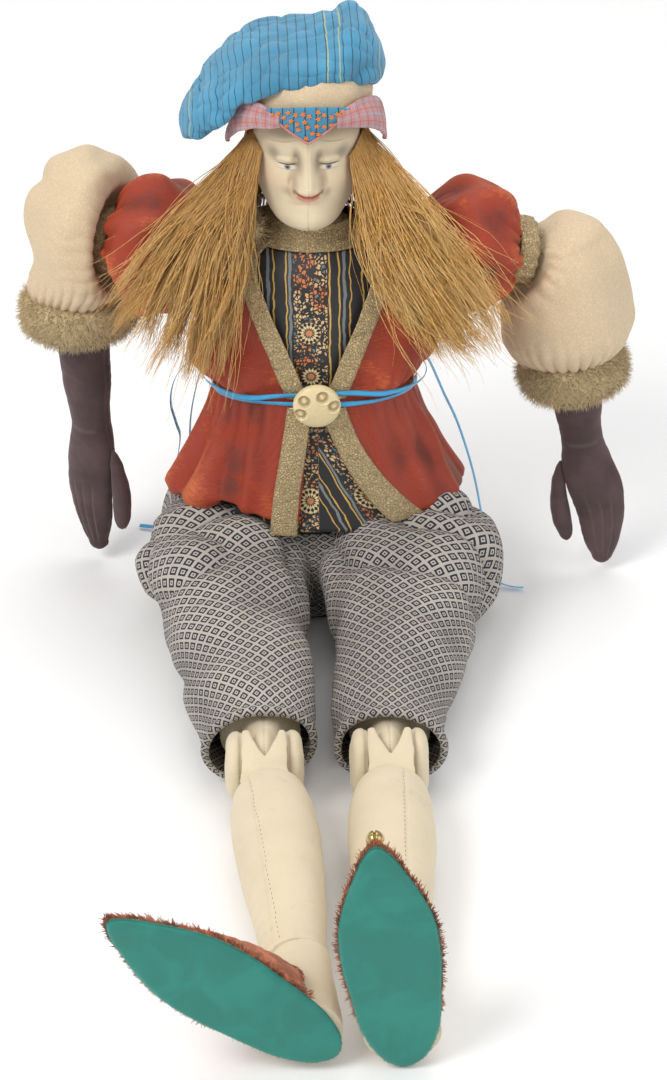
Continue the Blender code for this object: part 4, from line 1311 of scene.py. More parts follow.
def make_tunic(settings):
    """The striped silk front, from the collar to its hem below the jacket."""
    heights = np.concatenate([np.linspace(252, 160, 46), np.linspace(157, 73, 44)])
    part = np.linspace(-1, 1, 90)
    half = between([(70, 40), (100, 40), (158, 30), (190, 38), (240, 50), (256, 54)], heights)[:, 0]
    turns = half[:, None] * part[None, :]
    grid = round_trunk(heights, turns, 2.4)
    wide, deep, shift = peplum_radius(heights, turns)
    radians = np.radians(turns)
    skirt = np.stack([(wide - 3.2) * np.sin(radians), shift - (deep - 2.2) * np.cos(radians),
                      np.broadcast_to(heights[:, None], turns.shape)], axis=-1)
    below = step_up(-heights, -158, -140)[:, None, None]
    grid = grid * (1 - below) + skirt * below
    pleat = np.sin(turns / 9.0 + wobble(grid * (1, 1, 0.3), 40, 2) * 2.0)
    depth = 0.5 + 2.2 * step_up(-heights, -150, -80)
    grid = push(grid, pleat * depth[:, None] * 0.8 - 0.4, False)
    piece = skin("silk_tunic_front", grid, finish_for("striped silk"), close=False)
    thicken(piece, 0.9)
    rides_on(piece, "torso", "tunic_silk", "tunic_front")

    heights = np.linspace(265, 251.5, 16)
    turns = np.broadcast_to(np.linspace(0, 360, 97)[:-1], (16, 96))
    _, wide, deep = size_at(np.array([251.5]))[0]
    part = np.linspace(0, 1, 16)[:, None]
    slope = part ** 1.4
    radians = np.radians(turns)
    rx = 25.5 + (wide + 4.6 - 25.5) * slope
    ry = 23.5 + (deep + 5.2 - 23.5) * slope
    drop = heights[:, None] + 3.0 * (1 - np.cos(radians)) * part
    grid = np.stack([rx * np.sin(radians), 4 - ry * np.cos(radians), drop], axis=-1)
    grid = push(grid, 0.35 * wobble(grid, 5, 4), True)
    collar = skin("braid_collar", grid, finish_for("gold braid"))
    thicken(collar, 1.2)
    rides_on(collar, "torso", "gold_trim", "tunic_collar")


def make_bodice(settings):
    """Gathered velvet from the neck to the waist, bloused above the belt."""
    heights = np.concatenate([np.linspace(256, 246, 10), np.linspace(243, 157, 84)])
    edge = between([(157, 8), (175, 14), (190, 20), (220, 32), (240, 41), (249, 46), (257, 52)], heights)[:, 0]
    part = np.linspace(0, 1, 250)
    turns = edge[:, None] + (360 - 2 * edge[:, None]) * part[None, :]
    from_edge = np.minimum(turns - edge[:, None], 360 - edge[:, None] - turns)
    free = step_up(from_edge, 12, 32)
    radians = np.radians(turns)
    grid = round_trunk(heights, turns, 5.4)
    side = np.abs(np.sin(radians))
    blouse = bump_at(heights, 178, 17)[:, None] * free * (3.0 + 9.0 * side)
    drape = soft_folds(grid * (1, 1, 0.5), 36, 11)
    slant = soft_folds(np.stack([grid[..., 0] + grid[..., 2] * 0.7, grid[..., 1],
                                 grid[..., 2] * 0.4], axis=-1), 36, 5)
    waist = step_up(-heights, -200, -162)[:, None]
    tucks = gathers(part[None, :] + 0.006 * wobble(grid, 30, 8), 34) * waist
    fold = 0.50 * drape + 0.25 * slant + 0.25 * tucks
    calm = step_up(-heights, -254, -238)[:, None]
    amount = blouse + free * calm * (6.0 * drape + 3.6 * slant + 2.2 * tucks - 3.0)
    cinch = bump_at(heights, 157.5, 5)[:, None]
    amount = amount * (1 - 0.9 * cinch)
    amount = np.maximum(amount, -0.6)
    grid = push(grid, amount, False)
    piece = skin("velvet_bodice", grid, finish_for("rust velvet"), close=False)
    # Fold height, from which the velvet paints light on the ridges and shade in the valleys.
    put_fold(piece, fold * free + 0.6 * (1 - free))
    thicken(piece, 1.6)
    rides_on(piece, "torso", "rust_velvet", "jacket_bodice")


def make_peplum(settings):
    """The velvet skirt of the jacket, in soft folds, turned under at the hem."""
    heights = np.concatenate([np.linspace(158.5, 80, 76), np.array([78.5, 77.4, 77.2, 78.2, 80.0])])
    tuck = np.concatenate([np.zeros(76), np.array([0.2, 1.0, 2.4, 3.6, 4.0])])
    left = between([(77, 32), (80, 31), (100, 24), (128, 14), (158, 7)], heights)[:, 0]
    right = between([(77, 8), (100, 7), (128, 6), (158, 6)], heights)[:, 0]
    part = np.linspace(0, 1, 330)
    turns = left[:, None] + (360 - left[:, None] - right[:, None]) * part[None, :]
    radians = np.radians(turns)
    wide, deep, shift = peplum_radius(heights, turns)
    grid = np.stack([(wide + 2.6 - tuck[:, None]) * np.sin(radians),
                     shift - (deep + 2.6 - tuck[:, None]) * np.cos(radians),
                     np.broadcast_to(heights[:, None], turns.shape)], axis=-1)
    from_edge = np.minimum(turns - left[:, None], 360 - right[:, None] - turns)
    free = step_up(from_edge, 12, 30)
    fall = step_up(-heights, -158, -100)[:, None]
    calm_side = 1 - 0.6 * bump_at(turns, 48, 34)
    lean = np.radians(turns) * 15 + 0.03 * (158 - heights)[:, None] * np.sin(np.radians(turns * 2))
    big = 0.5 + 0.5 * np.sin(lean + 2.2 * wobble(grid * (1, 1, 0.3), 50, 3))
    drape = soft_folds(grid * (1, 1, 0.6), 40, 21)
    tucks = gathers(part[None, :] + 0.004 * wobble(grid, 30, 9), 40) * (1 - fall)
    amount = free * calm_side * (fall * (8.0 * big + 6.0 * drape - 4.5) + 2.4 * tucks)
    amount *= 1 - 0.85 * bump_at(heights, 158.5, 3.5)[:, None]
    amount = np.maximum(amount, -0.5)
    grid = push(grid, amount, False)
    sag = free * 3.5 * np.sin(np.radians(turns) * 4 + 1.0) * step_up(-heights, -120, -80)[:, None]
    rise = 9.0 * bump_at(turns, 318, 30) * step_up(-heights, -130, -80)[:, None]
    grid[..., 2] += -sag * 0.8 + rise
    piece = skin("velvet_peplum", grid, finish_for("rust velvet"), close=False)
    # Fold height, from which the velvet paints light on the ridges and shade in the valleys.
    put_fold(piece, free * (0.45 * big * fall + 0.45 * drape + 0.25 * tucks) + 0.6 * (1 - free))
    thicken(piece, 1.5)
    rides_on(piece, "torso", "rust_velvet", "jacket_peplum")


def make_braids(settings):
    """Metal braid down both edges of the jacket, above and below the belt."""
    braid = finish_for("gold braid")
    part = np.linspace(0, 1, 22)
    for side, sign in SIDES.items():
        heights = np.linspace(256, 163, 90)
        edge = between([(163, 5.5), (171, 9), (190, 16), (220, 28), (240, 37), (249, 42), (257, 47)], heights)[:, 0]
        turns = sign * (edge[:, None] - 2.0 + 13.5 * part[None, :])
        grid = round_trunk(heights, turns, 8.1)
        grid = push(grid, 0.35 * wobble(grid, 9, 6 + sign) - 0.5 * np.abs(part[None, :] * 2 - 1) ** 6, False)
        piece = skin(f"braid_upper_{side}", grid, braid, close=False)
        thicken(piece, 1.3)
        rides_on(piece, "torso", "gold_trim", f"trim_upper_{side}")
    for side, levels in {"left": [(77, 31, 46), (88, 26, 41), (100, 21, 36), (128, 11, 25), (156, 2, 17)],
                         "right": [(74, -8, -19), (100, -8, -20), (128, -5.5, -19), (156, -3, -17)]}.items():
        heights = np.linspace(157, 77 if side == "left" else 74, 90)
        edges = between(levels, heights)
        turns = edges[:, :1] + (edges[:, 1:] - edges[:, :1]) * part[None, :]
        radians = np.radians(turns)
        wide, deep, shift = peplum_radius(heights, turns)
        grid = np.stack([(wide + 4.4) * np.sin(radians), shift - (deep + 4.4) * np.cos(radians),
                         np.broadcast_to(heights[:, None], turns.shape)], axis=-1)
        grid = push(grid, 0.8 * wobble(grid * (1, 1, 0.6), 16, 8) - 0.5 * np.abs(part[None, :] * 2 - 1) ** 6, False)
        piece = skin(f"braid_lower_{side}", grid, braid, close=False)
        thicken(piece, 1.3)
        rides_on(piece, "torso", "gold_trim", f"trim_lower_{side}")


def make_belt(settings):
    """Two strands of satin ribbon round the waist, and the carved button over them."""
    satin = finish_for("satin ribbon")
    middle, wide, deep = size_at(np.array([float(WAIST_HEIGHT)]))[0]
    turn = np.linspace(0, 2 * np.pi, 181)[:-1]
    for name, height, rise, node, seed, clear in (("belt_strand_upper", 157, 10, "belt_ribbon_upper", 1, 6.5),
                                                  ("belt_strand_lower", 152, 8, "belt_ribbon_lower", 2, 0.5)):
        front = np.cos(turn)
        rows = []
        for edge, out in ((-1.6, 0.0), (-0.8, 0.35), (0.8, 0.35), (1.6, 0.0), (0.8, -0.25), (-0.8, -0.25)):
            lift = 1.2 * np.sin(3 * turn + seed) + rise * front
            lean = 0.7 * np.sin(5 * turn + seed * 2)
            radius = 9.6 + out + lean * edge / 1.6 + clear * step_up(1 - front, 0.02, 0.2)
            rows.append(np.stack([(wide + radius) * np.sin(turn), middle - (deep + radius) * np.cos(turn),
                                  height + edge + lift], axis=-1))
        grid = np.array(rows + rows[:1]).transpose(1, 0, 2)[:, :6]
        loop = np.concatenate([grid, grid[:1]], axis=0)
        piece = skin(name, loop, satin)
        put_fold(piece, np.ones(loop.shape[:2]))
        weld = piece.modifiers.new("weld", "WELD")
        weld.merge_threshold = 1e-6
        settle(piece)
        rides_on(piece, "torso", "blue_ribbon", node)

    radii = np.concatenate([np.linspace(0.3, 13.6, 60), 14.5 + np.array([-0.3, 0, 0]), np.array([13.0, 6.0])])
    turn = np.linspace(0, 2 * np.pi, 145)[:-1]
    dome = 3.0 + 4.0 * np.sqrt(np.clip(1 - (radii / 14.6) ** 2, 0, 1))
    dome[-5:] = (3.0, 2.4, 1.2, 0.2, 0.2)
    x = radii[:, None] * np.cos(turn)[None, :]
    z = radii[:, None] * np.sin(turn)[None, :]
    rise = np.broadcast_to(dome[:, None], x.shape).copy()
    hollow = np.zeros_like(x)
    for degrees, reach in ((202, 10.6), (147, 9.0), (66, 8.2), (6, 10.4)):
        cx, cz = reach * math.cos(math.radians(degrees)), reach * math.sin(math.radians(degrees))
        distance = np.hypot(x - cx, z - cz)
        dish = step_up(-distance, -4.4, -2.6)
        rise -= 2.0 * dish - 1.9 * bump_at(distance, 0, 1.9) - 0.3 * bump_at(distance, 4.6, 0.6)
        hollow = np.maximum(hollow, dish * (1 - bump_at(distance, 0, 1.7)))
    back = middle - deep - 12.1
    grid = np.stack([x, back - rise, 163 + z], axis=-1)
    button = skin("carved_button", grid, finish_for("button"), cap_start=True, cap_end=True)
    put_fold(button, hollow * 0.9)
    rides_on(button, "torso", "button_horn", "belt_button")


def make_fur_collar(settings):
    route = [(34, -22, 263), (43, -8, 265), (45, 10, 267), (36, 30, 271), (18, 41, 274), (0, 44, 275)]
    route += [(-x, y, z) for x, y, z in route[-2::-1]]
    line = smooth_route(route, 5)
    spots = np.linspace(0, 1, len(line))
    radius = np.interp(spots, [0, 0.1, 0.2, 0.8, 0.9, 1], [4.5, 8, 9, 9, 8, 4.5])
    grid = tube_grid(line, radius, radius * 0.8, 28, near=(0, 0, 1))
    grid = push(grid, 1.2 * wobble(grid, 14, 2), True)
    base = skin("fur_collar_base", grid, finish_for("fur"), cap_start=True, cap_end=True)
    piece = fur_on("rabbit_fur_collar", base, finish_for("fur"), settings.fur_density * 0.55, 7.5,
                   (0.0, 0.1, -0.25), 0.75, 5, 0.24)
    rides_on(piece, "torso", "fur", "fur_collar")


# ---------------------------------------------------------------- head, hat and hair

def face_depth(x, z):
    """How far the needle-shaped face stands forward of its stuffed round, in millimetres."""
    lift = np.zeros_like(x)
    width = 3.2 + 2.6 * step_up(-z, -312, -298)
    nose = between([(284, 1.0), (288, 3.5), (291.5, 12.5), (294, 13.6), (300, 10.0), (307, 6.0),
                    (314, 3.2), (322, 1.2), (330, 0.0)], z.ravel())[:, 0].reshape(z.shape)
    nose = np.where((z < 284) | (z > 330), 0, nose)
    lift += nose * np.exp(-(np.abs(x) / width) ** 2.4)
    for sign in (-1, 1):
        lift += 4.6 * np.exp(-((x - sign * 6.4) / 3.0) ** 2 - ((z - 292.3) / 3.0) ** 2)
        lift -= 2.2 * np.exp(-((x - sign * 9.9) / 1.6) ** 2 - ((z - 294) / 4.5) ** 2)
        lift += 2.6 * np.exp(-((x - sign * 12.4) / 5.6) ** 2 - ((z - 309) / 3.6) ** 2)
        lift -= 2.6 * np.exp(-((x - sign * 6.6) / 2.6) ** 2 - ((z - 310) / 6.0) ** 2)
        lid = (z - 306.3 + 0.012 * (x - sign * 12.4) ** 2)
        lift -= 1.5 * np.exp(-((x - sign * 12.4) / 5.6) ** 4) * np.exp(-(lid / 0.7) ** 2)
        lift += 2.2 * np.exp(-((x - sign * 17) / 9) ** 2 - ((z - 293) / 8) ** 2)
        lift += 1.6 * np.exp(-((x - sign * 15) / 9) ** 2 - ((z - 320) / 5) ** 2)
        lift -= 1.0 * np.exp(-((x - sign * 12.5) / 2.0) ** 2 - ((z - 286.5) / 3.6) ** 2)
    mouth = z - 284.6 - 0.055 * x ** 2
    across = np.exp(-(np.abs(x) / 7.4) ** 5)
    lift += 1.9 * across * np.exp(-((mouth + 1.9) / 1.5) ** 2)
    lift += 1.2 * across * np.exp(-((mouth - 1.2) / 1.1) ** 2)
    lift -= 1.8 * across * np.exp(-(mouth / 0.55) ** 2)
    lift -= 1.2 * np.exp(-(x / 9) ** 2 - ((z - 278.5) / 1.8) ** 2)
    lift += 2.0 * np.exp(-(x / 11) ** 2 - ((z - 266) / 6) ** 2)
    return lift


def make_head(settings):
    """Neck, skull and the needle-shaped painted face, in one stuffed piece."""
    levels = [(258.5, 4, 12, 12), (262, 4, 12.5, 12.5), (266, 2, 13, 14), (268.5, -8, 15.5, 22), (272, -11, 19, 26.5),
              (278, -11, 23, 30), (286, -9, 27, 32), (300, -8, 31, 34), (316, -7, 31.5, 36),
              (330, -6, 30, 35), (338, -5, 26, 30)]
    heights = np.concatenate([np.linspace(258.5, 268, 10), np.linspace(268.4, 330, 190), np.linspace(331, 338, 8)])
    middle, wide, deep = between(levels, heights).T
    cols = 264
    spread = np.linspace(-1, 1, cols + 1)[:-1]
    turn = np.pi * (0.42 * spread + 0.58 * spread ** 3)
    skew = HEAD_SIDE * step_up(heights, 258, 274)[:, None]
    x = wide[:, None] * np.sin(turn)[None, :]
    y = middle[:, None] - deep[:, None] * np.cos(turn)[None, :]
    z = np.broadcast_to(heights[:, None], x.shape)
    front = step_up(np.cos(turn)[None, :], 0.15, 0.5)
    y = y - front * face_depth(x, z - FACE_RISE)
    grid = np.stack([x + skew, y, z], axis=-1)
    seam = bump_at(x, 0, 0.45) * front
    grid = push(grid, -0.35 * seam + 0.10 * wobble(grid, 7, 3), True)
    piece = skin("painted_head", grid, face_paint(settings), cap_start=True, cap_end=True)
    rides_on(piece, "head", "face_cloth", "head")

    seam_line = []
    for height in np.linspace(329, 271, 59):
        row = int(np.argmin(np.abs(heights - height)))
        spot = int(np.argmin(np.abs(x[row]) + 50 * (np.cos(turn) < 0)))
        seam_line.append(tuple(grid[row, spot] + (0, -0.1, 0)))
    upper = [point for point in seam_line if point[2] > 291 + FACE_RISE]
    lower = [point for point in seam_line if point[2] < 279 + FACE_RISE]
    sewn = stitches("face_seam", [upper, lower], finish_for("cream thread"), 1.7, 1.3, 0.16, 0.9)
    rides_on(sewn, "head", "face_cloth")


def face_paint(settings):
    """Tinted cloth skin with painted eyes, brows and lips, and painted shade round the eyes, beside and under the nose,
    by the mouth corners and down the sides of the face.
    """
    colours = bpy.context.scene.doll_colours
    f = Finish("painted face cloth", "face_cloth", 0.72, Sheen_Weight=0.15)
    base = tuple(colours.face)
    face = f.vector("SUBTRACT", f.doll, (HEAD_SIDE, 0.0, FACE_RISE))
    x, y, z = f.split(face)
    rib = f.use(ribbed_knit, Vector=f.combine(x, z, y), Pitch=0.75)
    age = f.use(mottle, Vector=f.doll, Size=16.0)
    front = f.remap(y, -26.0, -20.0, 1.0, 0.0)

    def mark(cx, cz, wide, tall, lean=0.0, soft=0.3):
        found = f.use(painted_mark, Vector=face, Across=float(cx), Up=float(cz), Half_width=float(wide),
                      Half_height=float(tall), Lean=float(lean), Softness=float(soft))
        return f.times(found["Mask"], front)

    def lay(mask, strength, tint, under):
        return f.mix(f.times(mask, strength), under, tint)

    colour = f.mix(f.times(age["Slow"], 0.5), base, shade(base, 0.88))
    # Painted shade in the grooves of the ribs.
    colour = f.mix(f.times(rib["Groove"], 0.12), colour, (0.50, 0.36, 0.20))
    grey = (0.15, 0.12, 0.09)
    for sign in (-1, 1):
        eye = sign * 12.4
        # Painted shade round the eye, at its outer corner and in its inner corner beside the nose.
        colour = lay(mark(eye, 309.0, 9, 5.4, 0.0, 0.75), 0.20, grey, colour)
        colour = lay(mark(sign * 20, 310.5, 3.4, 3.4, 0.0, 0.9), 0.62, grey, colour)
        colour = lay(mark(sign * 6.0, 307.5, 2.1, 5.2, sign * 0.2, 0.9), 0.72, grey, colour)
        # Painted shade down the sides of the nose and under its wings.
        colour = lay(mark(sign * 8.2, 298, 2.0, 8.0, sign * -0.10, 0.95), 0.50, (0.24, 0.16, 0.10), colour)
        colour = lay(mark(sign * 7.6, 289.0, 1.5, 2.6, sign * -0.5, 0.6), 0.75, (0.20, 0.09, 0.06), colour)
        colour = lay(mark(eye, 303.9, 5.0, 1.7, 0.0, 0.3), 0.75, (0.74, 0.68, 0.58), colour)
        colour = lay(mark(eye - sign * 0.4, 303.8, 1.7, 1.8, 0.0, 0.3), 0.92, (0.14, 0.17, 0.23), colour)
        colour = lay(mark(eye - sign * 0.4, 303.6, 0.8, 0.8, 0.0, 0.3), 0.9, (0.01, 0.01, 0.015), colour)
        colour = lay(mark(eye, 308.0, 5.8, 2.9, 0.0, 0.25), 0.9, shade(base, 1.0), colour)
        colour = lay(mark(eye, 305.4, 5.6, 0.40, sign * -0.03, 0.35), 0.88, (0.05, 0.035, 0.03), colour)
        colour = lay(mark(eye, 302.2, 4.8, 0.4, 0.0, 0.8), 0.30, (0.30, 0.18, 0.12), colour)
        # Painted shade in the creases beside the mouth corners.
        colour = lay(mark(sign * 9.5, 284.0, 5.0, 2.2, sign * 0.6, 0.9), 0.22, (0.35, 0.22, 0.13), colour)
        colour = lay(mark(sign * 15, 318.5, 7.2, 0.40, sign * -0.18, 0.5), 0.42, (0.28, 0.17, 0.09), colour)
        colour = lay(mark(sign * 18, 294, 8, 6, 0.0, 0.9), 0.14, (0.72, 0.36, 0.22), colour)
        # Painted shade in the dimple beside the mouth.
        colour = lay(mark(sign * 11.2, 287.2, 1.6, 2.4, sign * 0.4, 0.9), 0.45, (0.33, 0.20, 0.13), colour)
        # Painted shade down the sides of the face.
        colour = lay(mark(sign * 29, 290, 5, 20, 0.0, 0.9), 0.20, (0.45, 0.27, 0.13), colour)
    curve = f.minus(f.minus(z, 284.6), f.times(f.times(x, x), 0.055))
    wide = f.remap(f.math("ABSOLUTE", x), 6.2, 7.6, 1.0, 0.0)
    lips = f.times(f.times(f.remap(curve, -3.6, -3.0), f.remap(curve, 1.6, 2.2, 1.0, 0.0)), wide)
    colour = lay(f.times(lips, front), 0.72, (0.62, 0.20, 0.13), colour)
    line = f.times(f.remap(f.math("ABSOLUTE", curve), 0.25, 0.75, 1.0, 0.0), wide)
    colour = lay(f.times(line, front), 0.85, (0.25, 0.045, 0.03), colour)
    colour = lay(mark(0, 281.6, 4.0, 0.9, 0.0, 0.7), 0.4, (0.80, 0.45, 0.32), colour)
    height = f.math("MULTIPLY_ADD", rib["Height"], 0.6, f.times(age["Quick"], 0.4))
    return f.done(colour, height, 0.2, 0.45)


def around_head(heights, turns, offset):
    """A grid round the hat's axis, as far outside the skull as the offset says."""
    radians = np.radians(turns)
    return np.stack([HEAD_SIDE + (32 + offset) * np.sin(radians), -6 - (37 + offset) * np.cos(radians),
                     np.broadcast_to(heights, radians.shape)], axis=-1)


def make_hat(settings):
    """The floppy striped crown, its padded band, turned-up brims and sewn badge."""
    stations = [(-79, 326, 3, 3), (-77, 326, 14, 8), (-73, 329, 23, 10.5), (-62, 340, 34, 15), (-50, 351, 42, 15.5),
                (-43, 358, 43, 13), (-38, 361, 45, 12.5), (-20, 366, 46, 12), (0, 367.5, 45, 12.5),
                (12, 369.5, 41.5, 14.5), (22, 371, 37, 16.5), (30, 370, 31, 15.5), (37, 365, 22, 12),
                (41.5, 361, 10, 5), (42.6, 360, 2.5, 2)]
    place = np.concatenate([np.linspace(-79, -70, 22), np.linspace(-69, 34, 150), np.linspace(34.6, 42.6, 22)])
    height, deep, tall = between(stations, place).T
    deep, tall = np.maximum(deep, 0.8), np.maximum(tall, 0.8)
    turn = np.linspace(0, 2 * np.pi, 161)[:-1]
    sine, cosine = np.sin(turn)[None, :], np.cos(turn)[None, :]
    x = np.broadcast_to(place[:, None], (len(place), 160)).copy()
    y = 2 - deep[:, None] * cosine
    z = height[:, None] + tall[:, None] * np.sign(sine) * np.abs(sine) ** 0.85
    grid = np.stack([x, y, z], axis=-1)
    pinch = bump_at(x, 25, 10) * bump_at(sine * np.ones_like(x), 1.0, 0.35)
    grid[..., 2] += 2.0 * pinch
    grid[..., 1] += 10 * pinch * (y > 2) - 3 * pinch * (y < 2)
    long_fold = creases(np.stack([x * 0.35, y, z * 1.1], axis=-1), 15, 31)
    cross_fold = creases(np.stack([x, y * 0.4, z * 0.6], axis=-1), 15, 17)
    low = step_up(-(z - height[:, None]), -2, 8)
    amount = 3.4 * long_fold * (0.45 + 0.55 * low) + 2.0 * cross_fold - 2.4
    ends = step_up(place, -82, -66) * step_up(-place, -42.6, -33)
    grid = push(grid, amount * ends[:, None], True)
    crown = skin("hat_crown_cloth", grid, finish_for("hat cloth"), cap_start=True, cap_end=True)
    # Fold height, whose valleys the hat cloth darkens as painted shade.
    put_fold(crown, 0.25 + 0.5 * long_fold + 0.35 * cross_fold)
    rides_on(crown, "head", "blue_stripe", "hat_crown")

    rows, cols = 34, 200
    part = np.linspace(0, 1, rows)[:, None]
    turns = np.broadcast_to(np.linspace(0, 360, cols + 1)[:-1], (rows, cols))
    around = part * 2 * np.pi
    puff = 3.6 + 3.6 * np.cos(around)
    front = np.cos(np.radians(turns))
    rise = 8.5 + 2.5 * front
    heights = 350 + 6.5 * front + rise * np.sin(around)
    grid = around_head(heights, turns, 0.6 + puff - 8 * np.clip((heights - 345) / 27, 0, 1) ** 1.5)
    grid = grid[:-1]
    grid = push(grid, 0.7 * wobble(grid, 12, 12), True)
    closed = np.concatenate([grid, grid[:1]], axis=0)
    band = skin("padded_hat_band", closed, finish_for("printed cotton"))
    weld = band.modifiers.new("weld", "WELD")
    weld.merge_threshold = 1e-6
    settle(band)
    rides_on(band, "head", "cream_print", "hat_band")

    for side, sign in SIDES.items():
        along = np.linspace(0, 1, 90)[None, :]
        across = np.linspace(0, 1, 26)[:, None]
        turns = sign * (22 + 74 * along + 0 * across)
        edges = between([(0, 343, 352), (0.3, 339, 355), (0.6, 329, 351), (0.85, 317, 341), (1, 312, 327)], along[0])
        low, high = edges.T[:, None, :]
        heights = low + (high - low) * across
        belly = np.sin(np.pi * np.clip(across, 0, 1)) ** 0.8
        offset = 10.0 + 4.5 * (1 - across) * step_up(along, 0.0, 0.4) + 1.8 * belly
        grid = around_head(heights, turns, offset)
        grid = push(grid, 0.6 * wobble(grid, 10, 3 + sign) + 0.8 * creases(grid, 14, 6 + sign), False)
        brim = skin(f"plaid_brim_{side}", grid, finish_for("plaid cloth"), close=False)
        thicken(brim, 2.0, 1)
        rides_on(brim, "head", "pink_plaid", f"hat_brim_{side}")

    along = np.linspace(-1, 1, 60)[None, :]
    across = np.linspace(0, 1, 24)[:, None]
    turns = 33 * along + 0 * across
    low = 335 + 16.5 * np.abs(along) ** 1.08
    high = 356.5 - 3.0 * along ** 2
    heights = low + (high - low) * across
    grid = around_head(heights, turns, 10.6 + 0.9 * np.sin(np.pi * across))
    badge = skin("sewn_badge", grid, finish_for("badge cloth"), close=False)
    thicken(badge, 1.6)
    rides_on(badge, "head", "badge_stitch", "hat_badge")
    edge = [tuple(grid[0, spot] + (0, -0.3, -0.2)) for spot in range(60)]
    piping = threads("badge_piping", [edge], finish_for("pink thread"), 0.75, 1.0, 8)
    rides_on(piping, "head", "pink_plaid")
    make_badge_flowers(grid)


def make_badge_flowers(grid):
    """Small orange flowers in satin stitch, laid on the badge."""
    rows, cols = grid.shape[:2]
    normals = grid_normals(grid, False)
    lines = []
    random = np.random.default_rng(4)
    taken = []
    for index in range(420):
        spot = (int(random.integers(2, rows - 3)), int(random.integers(4, cols - 4)))
        centre = grid[spot] + normals[spot] * 0.5
        edges = np.linalg.norm(grid[:, spot[1]][[0, -1]] - grid[spot], axis=1)
        if edges.min() < 2.2 or any(np.linalg.norm(centre - other) < 3.5 for other in taken):
            continue
        taken.append(centre)
        right = np.array((1.0, 0, 0))
        up = np.cross(right, normals[spot])
        up = up if up[2] > 0 else -up
        for petal in range(5):
            turn = petal * 2 * math.pi / 5 + index
            reach = right * math.cos(turn) + up * math.sin(turn)
            lines.append([centre + reach * 0.35, centre + reach * 0.9 + normals[spot] * 0.25, centre + reach * 1.5])
    flowers = threads("badge_flowers", lines, finish_for("orange thread"), 0.52, 0.5, 6)
    rides_on(flowers, "head", "badge_stitch")


def hair_lines(guides, count, seed, frizz, clumps=40, points=15, short=0.2):
    """Hairs that fan out between guide lines, drawn together in locks, with loose ones."""
    random = np.random.default_rng(seed)
    guides = np.array([np.array([tuple(p) for p in smooth_route(guide, 6)]) for guide in guides])
    spots = np.linspace(0, 1, guides.shape[1])
    centres = random.random(clumps)
    drifts = random.normal(0, 1, (clumps, 3))
    phases = random.random((clumps, 3)) * 6.3
    rates = 7 + 5 * random.random(clumps)
    lines = []
    for _ in range(count):
        clump = int(random.integers(clumps))
        own = random.random()
        loose = random.random() < 0.22
        start = own
        end = own if loose else centres[clump] + random.normal(0, 0.022)
        length = 1 - short * random.random() ** 2
        along = np.linspace(0, length, points)
        place = start + (end - start) * step_up(along, 0.0, 0.55)
        place = np.clip(place, 0, 1) * (len(guides) - 1)
        index = np.minimum(place.astype(int), len(guides) - 2)
        part = (place - index)[:, None]
        first, second = (np.array([[np.interp(a, spots, guides[i + step][:, axis]) for axis in range(3)]
                                   for a, i in zip(along, index)]) for step in (0, 1))
        line = first * (1 - part) + second * part
        grow = (along / max(length, 0.1))[:, None]
        depth = random.normal(0, 1.0)
        line += drifts[clump] * grow ** 1.5 * 5.0
        line += np.array((0.4, 1.0, 0.3)) * depth * (1.2 + 1.8 * grow)
        curl = phases[clump] + 0.35 * random.random(3)
        wave = np.sin(along[:, None] * rates[clump] + curl)
        line += wave * frizz * (1.1 if loose else 0.8) * grow ** 0.7
        fine = np.sin(along[:, None] * (24 + 14 * random.random()) + random.random(3) * 6.3)
        line += fine * frizz * 0.16 * grow
        if loose:
            line += random.normal(0, 1, 3) * grow ** 2 * frizz * 3.0
        lines.append(line)
    return lines


